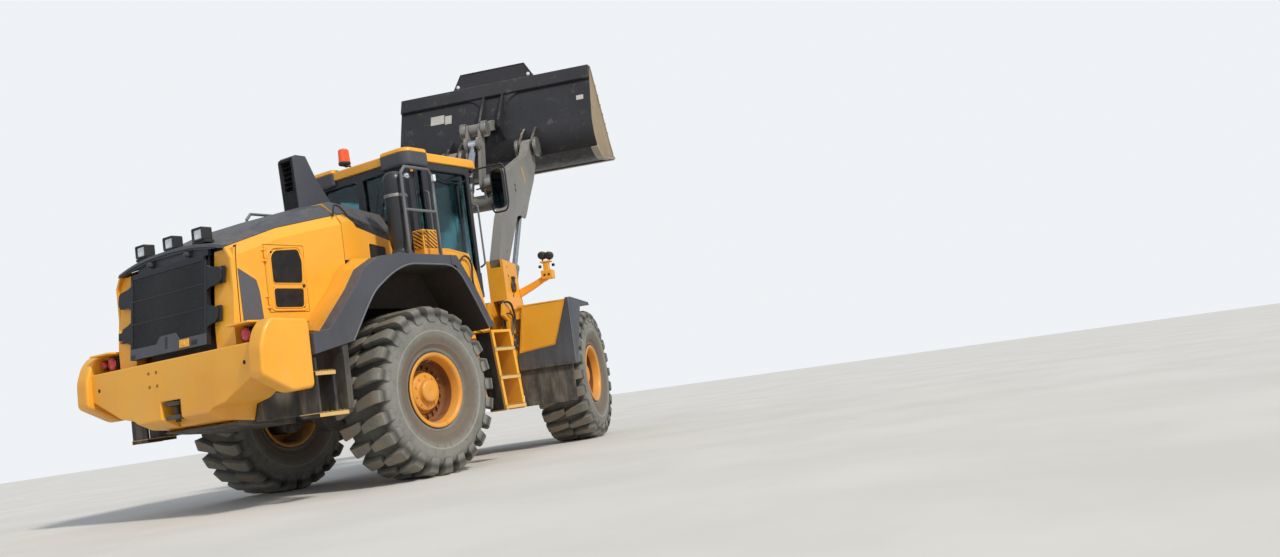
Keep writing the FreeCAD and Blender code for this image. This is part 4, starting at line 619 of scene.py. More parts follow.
low, high, pitch = 1.672, 2.352, 0.0125
outline = []
for k in range(int((high - low) / pitch)):
    for step, out in ((0, 0.001), (0.2, 0.006), (0.62, 0.006), (0.84, 0.001)):
        outline.append(on_grille(0, low + (k + step) * pitch, out)[::2])
outline += [on_grille(0, high, -0.006)[::2], on_grille(0, low, -0.006)[::2]]
Piece("grille_louvres").prism(outline, "y", -0.56, 0.56).done("grille", "radiator_grille")

p = Piece("grille_border")
for z0, z1, half in ((1.75, 1.9, 0.745), (2.1, 2.262, 0.805)):
    tab = [(0.56, z0 - 0.05), (0.64, z0 - 0.012), (half - 0.03, z0 + 0.004), (half, z0 + 0.03), (half, z1 - 0.03),
           (half - 0.03, z1 - 0.004), (0.64, z1 + 0.016), (0.56, z1 + 0.055)]
    for s in SIDES:
        grille_plate(p, [(s * y, z) for y, z in round_outline(tab, 0.02, 3)], -0.02, 0.005)
for s in SIDES:
    grille_plate(p, rectangle(s * 0.558, s * 0.59, 1.565, 2.398), -0.02, 0.009)
grille_plate(p, [(-0.59, 2.352), (0.59, 2.352), (0.59, 2.4), (0.3, 2.412), (-0.3, 2.412), (-0.59, 2.4)], -0.02, 0.009)
for z in (1.9, 2.126):
    grille_plate(p, rectangle(-0.56, 0.56, z, z + 0.012), 0, 0.009)
p.done("grille", "radiator_grille", edge=0.003)

p = Piece("hood_face")
for half, step, low, x, thick in ((0.55, 11, 2.407, -3.684, 0.034), (0.83, 16, 2.36, -3.585, 0.008)):
    crown = [(half * k / step, 2.424 + 0.086 * (1 - (abs(half * k / step) / 0.86) ** 2.4))
             for k in range(-step, step + 1)]
    p.prism([(-half, low), *crown, (half, low)], "x", x, x + thick)
p.done("charcoal", "engine_hood", edge=0.002)
p = Piece("grille_foot")
grille_plate(p, [(-0.59, 1.562), (-0.59, 1.668), (-0.19, 1.668), (-0.13, 1.735), (0.11, 1.735), (0.17, 1.668),
                 (0.59, 1.668), (0.59, 1.562)], 0, 0.012)
p.done("charcoal", "radiator_grille", edge=0.005)
p = Piece("grille_foot_slots")
for slot_box in ((-0.01, 0.03, 1.6, 1.715), (-0.46, -0.37, 1.585, 1.63), (0.5, 0.57, 1.57, 1.61)):
    grille_plate(p, rectangle(*slot_box), 0.008, 0.0135)
p.done("black", "radiator_grille", edge=0.001, slot="black_mesh")
p = Piece("grille_latch")
grille_plate(p, rectangle(-0.34, -0.2, 1.58, 1.655), 0.008, 0.02)
grille_plate(p, rectangle(-0.29, -0.25, 1.6, 1.635), 0.018, 0.03)
p.done("yellow", "radiator_grille", edge=0.002)

housing, lens = Piece("work_lamp_housings"), Piece("work_lamp_lenses")
for y in (-0.45, 0, 0.45):
    outer = panel(y - 0.082, y + 0.082, 2.558, 2.688, 0.02)
    inner = panel(y - 0.064, y + 0.064, 2.575, 2.671, 0.014)
    housing.loft([stand(line, "x", x) for line, x in (
        (inner, -3.598), (outer, -3.604), (outer, -3.712), (inner, -3.714), (inner, -3.694))])
    lens.stack(inner, "x", (y, 2.623), ((-3.692, 1), (-3.701, 0.9)))
    for k in range(-2, 3):
        lens.box(-3.7035, -3.699, y + k * 0.022 - 0.001, y + k * 0.022 + 0.001, 2.585, 2.661)
    housing.box(-3.7, -3.6, y - 0.1, y + 0.1, 2.535, 2.56)
housing.done("black", "engine_hood", edge=0.003, slot="charcoal_trim")
lens.done("white", "engine_hood", edge=0.001)

rings = []
for y in (k / 12 for k in range(-10, 11)):
    x, z = -3.715, 2.425 + 0.105 * (1 - (abs(y) / 0.86) ** 2.4)
    rings.append([(x + dx, y * 0.985, z + dz) for dx, dz in (
        (-0.022, -0.012), (-0.006, 0.022), (0.05, 0.028), (0.05, -0.012))])
Piece("hood_rear_lip").loft(rings).done("charcoal", "engine_hood", edge=0.004)


# ---------------------------------------------------------------- service doors

def crossings(outline, level):
    """Where the edges of a flat outline cross a level of its second coordinate."""
    return [a[0] + (level - a[1]) / (b[1] - a[1]) * (b[0] - a[0]) for a, b in zip(outline, outline[1:] + outline[:1])
            if (a[1] - level) * (b[1] - level) < 0]


VENTS = ([(-3.268, 2.08), (-2.912, 2.08), (-2.894, 2.3), (-2.93, 2.426), (-3.215, 2.404), (-3.268, 2.345)],
         [(-3.268, 1.842), (-2.924, 1.842), (-2.905, 2.036), (-3.268, 2.036)])
DOOR_RIDGE = [(-3.318, 1.818), (-3.318, 2.34), (-3.245, 2.428), (-2.915, 2.448), (-2.872, 2.34), (-2.88, 1.818)]

for hand in HANDS:
    body = "service_flap_" + hand
    vents, ridge = Piece("vent_slats", hand), Piece("door_ridge", hand)
    for outline in VENTS:
        shape = round_outline(outline, 0.035)
        vents.prism(shape, "y", 0.893, 0.9015)
        levels = [z for _, z in shape]
        z = min(levels) + 0.01
        while z < max(levels) - 0.01:
            ends = crossings(shape, z)
            vents.prism([(0.901, z - 0.0035), (0.9055, z - 0.0015), (0.9055, z + 0.0015), (0.901, z + 0.003)], "x",
                        min(ends) + 0.006, max(ends) - 0.006)
            z += 0.0105
        ridge.bead(stand(round_outline(outline, 0.04), "y", 0.901), 0.0065)
    ridge.bead(stand(round_outline(DOOR_RIDGE, 0.07, 6), "y", 0.8995), 0.01)
    vents.done("mesh", body)
    ridge.done("yellow", body)
    Piece("door_latch", hand).turned([(0.017, -0.004), (0.017, 0.006), (0.013, 0.009), (0.006, 0.009), (0.006, 0.006)],
                                     (-2.902, 0.9, 2.06), LEFT, 24).done("black", body)
    outline = [(-3.64, 1.722), (-3.65, 2.225), (-3.455, 2.112), (-3.428, 2), (-3.412, 1.722)]
    Piece("side_plate", hand).prism(round_outline(outline, 0.012, 3), "y", 0.896, 0.9045).done("plate_grey", edge=0.002)
    outline = [(-3.678, 1.7), (-3.668, 2.2), (-3.655, 2.4), (-3.64, 2.445), (-3.633, 2.445), (-3.647, 2.4),
               (-3.66, 2.2), (-3.67, 1.7)]
    Piece("pillar_gap", hand).prism(outline, "y", 0.86, 0.9012).done("black")


# ---------------------------------------------------------------- cowl, stack and air pre-cleaner

def cowl_side(x, share):
    """Point on the slanted top edge of the cowl's side: share 0 at its foot, 1 at the shoulder."""
    half = 0.88 - (x + 2.2) * 0.2
    shoulder = 2.845 - (x + 2.2) * 0.17222
    return Vector((x, half - 0.07 * share, shoulder - 0.09 * (1 - share)))


rings = []
for x, half, shoulder, crown in ((-2.323, 0.9, 2.817, 3.012), (-2.2, 0.88, 2.845, 3.04),
                                 (-1.312, 0.7024, 2.6921, 2.9907)):
    over = [(half - 0.066, shoulder), (half - 0.26, crown - 0.03), (0, crown), (0.26 - half, crown - 0.03),
            (0.066 - half, shoulder)]
    rings.append([(x, y, z - 0.004) for y, z in over] + [(x, y, z + 0.004) for y, z in over[::-1]])
Piece("cowl_cover").loft(rings).done("charcoal", edge=0.001)
for hand in HANDS:
    rings = []
    for low_x, ridge_x, high_x in ((-2.085, -2.128, -2.225), (-1.312, -1.312, -1.312)):
        low, ridge, high = cowl_side(low_x, 0), cowl_side(ridge_x, 0), cowl_side(high_x, 0.95)
        low.z -= 0.035
        under, over = [[low + Vector((0, depth, 0)), ridge + Vector((0, depth * 0.9, depth * 0.42)),
                        high + Vector((0, depth * 0.79, depth * 0.61))] for depth in (-0.008, 0.005)]
        rings.append(under + over[::-1])
    Piece("name_strip", hand).loft(rings).done("strip_black", edge=0.001)
    outline = round_outline([(-1.905, 2.54), (-1.6, 2.52), (-1.59, 2.42), (-1.905, 2.356)], 0.02, 3)
    Piece("cowl_opening", hand).loft([[(x, 0.88 - (x + 2.2) * 0.2 + out, z) for x, z in outline]
                                      for out in (-0.01, 0.002)]).done("black", slot="black_mesh")
    Piece("cowl_opening_rim", hand).bead([(x, 0.882 - (x + 2.2) * 0.2, z) for x, z in outline], 0.006).done("yellow")
    Piece("grab_loop", hand).tube([(-2.4, 0.868, 2.79), (-2.372, 0.868, 2.92), (-2.3, 0.868, 2.905),
                                   (-2.205, 0.866, 2.822)], 0.009).done("black")

p = Piece("stack_liner")
p.box(-2.092, -2.083, -0.084, 0.084, 3.252, 3.598)
for s in SIDES:
    p.box(-2.185, -2.083, s * 0.0845, s * 0.08, 3.252, 3.598)
for z0, z1 in ((3.25, 3.256), (3.594, 3.599)):
    p.box(-2.18, -2.083, -0.084, 0.084, z0, z1)
for z in (3.31 + 0.055 * k for k in range(5)):
    p.prism([(-2.165, z), (-2.1, z + 0.03), (-2.1, z + 0.034), (-2.165, z + 0.004)], "y", -0.082, 0.082)
p.done("soot")
p = Piece("stack_mouth")
for bars in ((-0.108, 0.108, 3.06, 3.256), (-0.108, -0.082, 3.25, 3.6), (0.082, 0.108, 3.25, 3.6),
             (-0.108, 0.108, 3.594, 3.622)):
    p.loft([[(-2.16 - (z - 2.9) * 0.04286 - out, y, z) for y, z in rectangle(*bars)] for out in (-0.008, 0.003)])
p.done("soot", edge=0.001)
Piece("stack_foot").prism(panel(-2.24, -1.58, -0.165, 0.165, 0.06), "z", 2.99, 3.035).done("charcoal", edge=0.012)

p = Piece("air_precleaner")
x, y = -1.7, -1.1
p.turned([(0.15, 2.3305), (0.15, 2.352), (0.128, 2.372), (0.106, 2.4), (0.1, 2.43), (0.108, 2.47), (0.1185, 2.54),
          (0.1195, 2.9), (0.1195, 2.985), (0.1235, 2.99), (0.1235, 3.015), (0.1195, 3.02), (0.1195, 3.17),
          (0.116, 3.205), (0.104, 3.24), (0.082, 3.262), (0.05, 3.273), (0.003, 3.276)], (x, y, 0), UP, 56)
for a in (2 * math.pi * k / 28 for k in range(28)):
    p.rod((x + 0.119 * math.cos(a), y + 0.119 * math.sin(a), 3.035),
          (x + 0.117 * math.cos(a), y + 0.117 * math.sin(a), 3.175), 0.0035, 6)
p.done("strip_black", stands_for=("precleaner",))
p = Piece("precleaner_band")
p.turned([(0.1238, 2.982), (0.1258, 2.986), (0.1258, 3.016), (0.1238, 3.02)], (x, y, 0), UP, 56)
p.box(x - 0.015, x + 0.015, y - 0.14, y - 0.12, 2.988, 3.014).done("zinc")


def clip_level(points, low, high):
    """The part of a flat convex outline between two heights."""
    for limit, sign in ((low, 1), (high, -1)):
        kept = []
        for (xa, za), (xb, zb) in zip(points, points[1:] + points[:1]):
            if sign * (za - limit) >= 0:
                kept.append((xa, za))
            if (za - limit) * (zb - limit) < 0:
                kept.append((xa + (limit - za) / (zb - za) * (xb - xa), limit))
        points = kept
    return points if len(points) > 2 else None


Piece("louvred_box").box(-1.305, -1.075, -1.06, -0.9, 2.33, 2.68).done("yellow", edge=0.012, segments=3)
p = Piece("louvred_box_gaps").box(-1.288, -1.092, -1.0625, -1.055, 2.47, 2.662)
p.box(-1.309, -1.304, -1.045, -0.915, 2.47, 2.662).done("black", slot="black_mesh")
p = Piece("louvred_box_slats")
for z in (2.47 + 0.044 * k for k in range(-4, 9)):
    for a0, a1, z0, z1, axis, low, high in ((-1.288, -1.092, z + 0.13, z, "y", -1.068, -1.06),
                                            (-1.045, -0.915, z + 0.03, z + 0.115, "x", -1.314, -1.306)):
        band = clip_level([(a0, z0), (a1, z1), (a1, z1 + 0.024), (a0, z0 + 0.024)], 2.472, 2.66)
        if band:
            p.prism(band, axis, low, high)
p.done("yellow", edge=0.0015)


# ---------------------------------------------------------------- fenders, steps and rails

ARCH = [(-2.86, 1.43), (-2.64, 1.75), (-2.51, 1.92), (-2.23, 2.11), (-1.99, 2.2), (-1.28, 2.2), (-1.06, 1.87),
        (-0.85, 1.5)]
# Steps: x0, x1, y0, y1 and the height of the tread
STEPS = ((-3.35, -3.115, 1.172, 1.446, 1.17), (-3.35, -3.005, 1.172, 1.446, 0.79), (-0.545, -0.178, 1.052, 1.308, 0.61),
         (-0.582, -0.216, 1.052, 1.308, 0.95), (-0.618, -0.252, 1.052, 1.308, 1.28))
APRON_TOP = {"left": [(-0.975, 2.388), (-0.912, 2.005), (-0.635, 1.965)], "right": [(-0.76, 2.375), (-0.655, 2.165)]}

for hand in HANDS:
    p = Piece("arch_liner", hand)
    p.prism([(x, z - 0.01) for x, z in ARCH] + [(x, z - 0.003) for x, z in ARCH[::-1]], "y", 0.915, 1.452)
    p.prism([(-2.59, 1.815), (-2.505, 1.925), (-2.225, 2.115), (-1.99, 2.205), (-1.285, 2.205), (-1.065, 1.875),
             (-1.03, 1.815)], "y", 0.902, 0.916)
    p.done("liner")
    Piece("arch_fold", hand).tube([(x, 1.456, z + 0.004) for x, z in ARCH], 0.0105, 8, 3).done("fold")
    p = Piece("trim_joint", hand).box(-1.353, -1.346, 1.3, 1.4612, 2.196, 2.3115)
    p.tube([(-1.35, 1.44, 2.309), (-1.335, 1.38, 2.3095), (-1.36, 1.3, 2.309)], 0.004, 6)
    p.done("black", slot="charcoal_trim")
    p = Piece("mudflap", hand).prism(panel(1.176, 1.444, 0.795, 1.44, 0.02, 3), "x", -2.998, -2.932)
    for y in (1.21, 1.31, 1.41):
        p.bolt((-2.998, y, 1.385), BACK, 0.01, 0.01)
        p.bolt((-2.932, y, 1.385), AHEAD, 0.01, 0.01)
    p.box(-3.004, -2.926, 1.18, 1.44, 1.36, 1.41).done("flap", edge=0.003)

    treads, grips = Piece("step_treads", hand), Piece("step_grips", hand)
    for x0, x1, y0, y1, z in STEPS:
        treads.box(x0, x1, y0, y1, z, z + 0.008)
        treads.box(x0, x1, y1 - 0.006, y1, z - 0.034, z + 0.008)
        for i in range(7):
            for j in range(4):
                at = (x0 + (i + 0.5) * (x1 - x0) / 7, y0 + (j + 0.5) * (y1 - y0) / 4, z + 0.0078)
                grips.turned([(0.011, 0), (0.009, 0.006), (0.006, 0.006), (0.005, 0.001)], at, UP, 10)
    treads.done("tread", edge=0.002)
    grips.done("tread")
    # A black plate on the rear face of the ladder: painted shade on the back of its rear stringer
    shade = ((1.07, 1.47, -0.642), (1.275, 1.47, -0.642), (1.275, 0.575, -0.545), (1.07, 0.575, -0.545))
    p = Piece("ladder_painted_shade", hand).loft([[(x - 0.003 + d, y, z) for y, z, x in shade] for d in (0, 0.008)])
    p.done("black", edge=0.001, slot="charcoal_trim")
    p = Piece("step_hanger_bolts", hand)
    for z in (1.06, 1.22):
        for y in (1.26, 1.38):
            p.bolt((-3.345, y, z), BACK, 0.013, 0.012)
    p.done("zinc", slot="dark_steel")
    if hand == "right":
        Piece("apron_rail", hand).tube([
            (-0.945, 1.196, 2.25), (-0.935, 1.225, 2.3), (-0.865, 1.228, 2.362), (-0.78, 1.228, 2.335),
            (-0.742, 1.228, 2.25), (-0.77, 1.228, 2.05), (-0.69, 1.228, 1.88), (-0.65, 1.225, 1.76),
            (-0.655, 1.196, 1.72)], 0.012).done("black")
    apron = [(-1.15, 2.425), (-1.068, 2.425), *APRON_TOP[hand], (-0.56, 1.765), (-0.545, 1.47), (-0.74, 1.545),
             (-0.935, 1.905), (-1.195, 2.3)]
    Piece("apron_edge", hand).bead(stand(round_outline(apron, 0.03), "y", 1.1905), 0.0035, 6).done("yellow")
    p = Piece("rail_feet", hand)
    for x in (-1.76, -1.28):
        p.turned([(0.04, 2.3105), (0.04, 2.318), (0.024, 2.322), (0.021, 2.34), (0.018, 2.345)], (x, 1.27, 0), UP, 24)
        for a in (0.8, 3.9):
            p.bolt((x + 0.03 * math.cos(a), 1.27 + 0.03 * math.sin(a), 2.318), UP, 0.006, 0.006)
    p.done("rail")
Piece("rail_lamp").box(-1.3, -1.262, -1.312, -1.272, 3.17, 3.245).done("white", edge=0.006)
p = Piece("rail_lamp_small")
p.turned([(0.03, 0), (0.034, 0.012), (0.03, 0.03), (0.012, 0.038)], (-1.7, -1.285, 3.19), (-0.6, -0.8, 0.1), 24)
p.rod((-1.7, -1.285, 3.19), (-1.757, -1.272, 3.19), 0.006, 8).done("chrome")


# ---------------------------------------------------------------- cab

p = Piece("window_seals").bead(stand(panel(-0.79, -0.12, 2.25, 3.47, 0.05), "y", -0.781), 0.01)
for s in SIDES:
    p.bead(stand(panel(-1.03, -0.9, 2.65, 3.47, 0.03), "y", s * 0.781), 0.01)
for y0, y1, z, x in ((-0.64, -0.04, 2.75, -1.121), (0.04, 0.64, 2.75, -1.121), (-0.43, 0.43, 2.25, 0.111)):
    p.bead(stand(panel(y0, y1, z, 3.47, 0.05), "x", x), 0.01)
p.done("gasket")
p = Piece("door_seal").bead(stand(panel(-0.755, -0.145, 2.21, 3.42, 0.05), "y", 0.781), 0.01)
p.done("gasket", "left_cab_door")
p = Piece("corner_panes")
for s in SIDES:
    pane = ((-0.04, 0.752), (0.094, 0.5), (0.1, 0.503), (-0.034, 0.755))[::s]
    p.prism([(x, s * y) for x, y in pane], "z", 2.252, 3.468)
p.done("glass")

roof = round_outline([(-1.142, -0.69), (-1.07, -0.8), (0.06, -0.802), (0.29, -0.565), (0.342, -0.3), (0.345, 0.3),
                      (0.29, 0.565), (0.06, 0.802), (-1.07, 0.8), (-1.142, 0.69)], 0.08, 5)
Piece("roof_shell").stack(roof, "z", (-0.4, 0), (
    (3.5605, 0.985), (3.575, 1), (3.65, 1), (3.668, 0.985), (3.676, 0.955), (3.684, 0.88), (3.69, 0.5))).done(
    "yellow", stands_for=("cab_roof",))
Piece("roof_under_edge").stack(roof, "z", (-0.4, 0), ((3.54, 0.955), (3.545, 0.965), (3.566, 0.975))).done("charcoal")
for hand, s in zip(HANDS, (1, -1)):
    line = round_outline([(-1.165, s * 0.39), (-1.165, s * 0.74), (-1.11, s * 0.822), (-0.8, s * 0.826),
                          (-0.8, s * 0.39)], 0.045, 5)
    for name, look, levels in (
            ("roof_corner_", "charcoal", ((3.49, 0.9), (3.505, 0.97), (3.53, 1), (3.64, 1), (3.655, 0.97))),
            ("roof_corner_cap_", "yellow", ((3.652, 0.985), (3.664, 0.992), (3.694, 0.97), (3.706, 0.9), (3.71, 0.5)))):
        Piece(name + hand).stack(line, "z", (-0.97, s * 0.6), levels).done(look)
nose, lens, turn = Piece("roof_nose_lamps"), Piece("roof_lamp_lenses"), Piece("turn_lamps")
for s in SIDES:
    nose.box(0.29, 0.352, s * 0.36, s * 0.5, 3.47, 3.548)
    nose.box(0.2, 0.3, s * 0.4, s * 0.46, 3.52, 3.57)
    nose.box(-1.1, -1.045, s * 0.8, s * 0.842, 3.4, 3.47)
    lens.box(0.35, 0.356, s * 0.37, s * 0.49, 3.48, 3.54)
    turn.box(-1.112, -1.098, s * 0.804, s * 0.838, 3.405, 3.465)
nose.done("black", edge=0.006, slot="charcoal_trim")
lens.done("white", edge=0.002)
turn.done("amber", edge=0.004)

x, y = -1.05, 0.285
p = Piece("beacon_pole").tube([(x, y - 0.095, 3.655), (x, y - 0.095, 3.712), (x, y, 3.722), (x, y, 3.76)], 0.011)
p.turned([(0.045, 3.735), (0.066, 3.742), (0.072, 3.75), (0.072, 3.772), (0.066, 3.776)], (x, y, 0), UP, 40)
p.done("black", slot="charcoal_trim")
profile = [(0.066, 3.774)]
for k in range(9):
    z = 3.778 + k * 0.0165
    profile += [(0.0665 - 0.0006 * k, z), (0.07 - 0.0008 * k, z + 0.008)]
profile += [(0.06, 3.926), (0.044, 3.938), (0.02, 3.943), (0.002, 3.944)]
Piece("beacon_lens").turned(profile, (x, y, 0), UP, 48).done("orange")

p = Piece("wipers")
for points, radius in (
        ([(-0.16, -0.795, 3.395), (-0.3, -0.8, 3.335), (-0.52, -0.803, 3.345), (-0.7, -0.8, 3.42)], 0.007),
        ([(-0.3, -0.8, 3.338), (-0.34, -0.806, 3.05), (-0.33, -0.806, 2.7)], 0.006),
        ([(-1.135, -0.06, 2.72), (-1.142, -0.2, 2.95), (-1.142, -0.3, 3.25)], 0.007),
        ([(0.122, 0.05, 2.27), (0.13, 0.16, 2.62), (0.13, 0.2, 3)], 0.008)):
    p.tube(points, radius)
p.box(-0.338, -0.326, -0.806, -0.794, 2.64, 3.3)
p.box(-1.146, -1.134, -0.316, -0.3, 2.9, 3.38)
p.box(0.12, 0.132, 0.192, 0.208, 2.55, 3.32)
p.turned([(0.028, 0), (0.028, 0.016), (0.016, 0.024)], (-1.121, -0.06, 2.71), BACK, 20).done("gasket")
p = Piece("cab_grab_rails")
for s in SIDES:
    p.tube([(-0.06, s * 0.782, 3.1), (-0.045, s * 0.845, 3.08), (-0.035, s * 0.845, 2.35), (-0.05, s * 0.782, 2.32)],
           0.012)
p.tube([(-0.885, -0.782, 3.2), (-0.885, -0.84, 3.18), (-0.885, -0.84, 2.45), (-0.885, -0.782, 2.42)], 0.012)
p.done("rail")
p = Piece("cab_skirt")
for s in SIDES:
    p.box(-1.122, -0.052, s * 0.779, s * 0.786, 1.955, 2.02)
    for x in (-1, -0.6, -0.2):
        p.bolt((x, s * 0.786, 1.985), (0, s, 0), 0.009, 0.008)
p.done("charcoal", edge=0.002)

y, low, high = 1.1, 3, 3.5
line = panel(y - 0.095, y + 0.095, low, high, 0.08, 6)
middle = (low + high) / 2
for hand in HANDS:
    p = Piece("mirror_body", hand)
    p.loft([[(x, y + (a - y) * k, middle + (b - middle) * (1 - (1 - k) * 0.5)) for a, b in line] for x, k in (
        (0.13, 0.55), (0.127, 0.8), (0.112, 0.95), (0.09, 1), (0.062, 1), (0.06, 0.9), (0.068, 0.88))])
    p.tube([(0.03, 0.735, 3.545), (0.03, 0.8, 3.545), (0.1, 1.18, 3.548), (0.105, 1.215, 3.48), (0.105, 1.215, 3.06),
            (0.1, 1.18, 2.96), (0.08, 0.99, 2.96), (0.08, 0.975, 3.08)], 0.011)
    p.tube([(0.06, 0.775, 3.3), (0.09, 0.96, 3.31), (0.1, 1.1, 3.31)], 0.009)
    p.box(0.004, 0.056, 0.726, 0.782, 3.515, 3.56).done("black", stands_for=("mirrors",))
    p = Piece("mirror_glass", hand).prism(panel(y - 0.08, y + 0.08, low + 0.018, high - 0.018, 0.065, 6), "x",
                                          0.0655, 0.068)
    p.done("mirror")


# ---------------------------------------------------------------- seat, console and display

PAD_LEVELS = ((0, 0.93), (0.1, 0.985), (0.35, 1), (0.62, 0.985), (0.82, 0.93), (0.93, 0.82), (0.98, 0.62), (1, 0.35),
              (1, 0.08))
PAD_SIDES, PAD_SQUARE = 40, 0.42


def pad(name, points, height, sag, stands_for=()):
    """A crowned cushion over a rounded outline: points lie in its plane, sag is how far the rim drops."""
    origin, across, along, out = (Vector(v) for v in points)
    rings = []
    for level, share in PAD_LEVELS:
        ring = []
        for k in range(PAD_SIDES):
            a = 2 * math.pi * k / PAD_SIDES
            u, v = (math.copysign(abs(c) ** PAD_SQUARE, c) * share for c in (math.cos(a), math.sin(a)))
            groove = -0.01 * math.exp(-((abs(u) - 0.58) / 0.05) ** 2) * (level > 0.7)
            seam = -0.006 * math.exp(-((v - 0.15) / 0.04) ** 2) * (level > 0.7)
            crown = -sag * (u * u + v * v) * 0.5
            ring.append(origin + across * u + along * v + out * (height * level + groove + seam + crown * level))
        rings.append(ring)
    obj = Piece(name).loft(rings).done("fabric", stands_for=stands_for)


FLOOR = 2.01
pad("seat_cushion", ((-0.59, 0, FLOOR + 0.33), (0.25, 0, 0), (0, 0.24, 0), UP), 0.125, 0.025, ("cab_interior",))
lean, face = Vector((-0.152, 0, 0.988)), Vector((0.988, 0, 0.152))
back = Vector((-0.875, 0, FLOOR + 0.78))
pad("seat_back", (back, lean * 0.33, (0, 0.23, 0), face), 0.11, 0.02)
pad("seat_head", (back + lean * 0.43, lean * 0.095, (0, 0.13, 0), face), 0.095, 0.015)
p = Piece("seat_frame").prism(panel(-0.8, -0.37, -0.16, 0.16, 0.05), "z", FLOOR + 0.0005, FLOOR + 0.2)
for z in (FLOOR + 0.2 + 0.028 * k for k in range(4)):
    p.prism(panel(-0.79, -0.38, -0.15, 0.15, 0.05), "z", z, z + 0.016)
    p.prism(panel(-0.76, -0.41, -0.13, 0.13, 0.05), "z", z + 0.015, z + 0.029)
p.prism(panel(-0.85, -0.345, -0.235, 0.235, 0.05), "z", FLOOR + 0.312, FLOOR + 0.345)
p.prism([(-0.9, FLOOR + 0.34), (-0.855, FLOOR + 0.34), (-0.955, FLOOR + 1.1), (-0.985, FLOOR + 1.1)], "y", -0.2, 0.2)
armrest = round_outline([(-0.8, FLOOR + 0.575), (-0.43, FLOOR + 0.59), (-0.42, FLOOR + 0.64), (-0.8, FLOOR + 0.64)],
                        0.02)
for s in SIDES:
    p.tube([(-0.955, s * 0.05, FLOOR + 1.07), (-0.968, s * 0.05, FLOOR + 1.2)], 0.008)
    p.prism(armrest, "y", s * 0.275, s * 0.35)
    p.rod((-0.78, s * 0.26, FLOOR + 0.4), (-0.78, s * 0.3, FLOOR + 0.6), 0.018)
p.box(-0.56, -0.3, -0.56, -0.38, FLOOR + 0.001, FLOOR + 0.56)
for x in (-0.5 + 0.05 * k for k in range(4)):
    p.rod((x, -0.46, FLOOR + 0.55), (x, -0.455, FLOOR + 0.63), 0.008, 10)
    p.turned([(0.01, 0), (0.014, 0.012), (0.01, 0.024)], (x, -0.455, FLOOR + 0.625), UP, 12)
p.done("interior", edge=0.004)
console = [(0.015, 0.001), (0.02, 0.3), (-0.04, 0.56), (-0.13, 0.58), (-0.11, 0.3), (-0.15, 0.1), (-0.13, 0.001)]
p = Piece("steering_console").prism(round_outline([(x, FLOOR + z) for x, z in console], 0.04), "y", -0.15, 0.15)
p.rod((-0.06, 0, FLOOR + 0.43), (-0.225, 0, FLOOR + 0.64), 0.034, 20)
centre, axis = Vector((-0.24, 0, FLOOR + 0.652)), Vector((-0.48, 0, 0.877)).normalized()
u, v = frame_of(axis)
p.bead(circle(centre, u, v, 0.19, 40), 0.0145)
for a in (0.3, 2.4, 4.4):
    p.rod(centre, centre + (u * math.cos(a) + v * math.sin(a)) * 0.186, 0.011, 8)
p.turned([(0.05, -0.012), (0.05, 0.01), (0.035, 0.018)], centre, axis, 28).done("interior", edge=0.003)
p = Piece("cab_display").box(-0.115, -0.095, 0.34, 0.52, FLOOR + 0.95, FLOOR + 1.12)
p.rod((-0.1, 0.43, FLOOR + 0.95), (-0.07, 0.6, FLOOR + 0.8), 0.01, 10).done("gasket", edge=0.006, slot="interior")


# ---------------------------------------------------------------- front frame

LAMPS = ((1.17, 1.08, 2.545), (1.17, 1.175, 2.53))
LAMP_AXIS = (1, 0, 0.05)

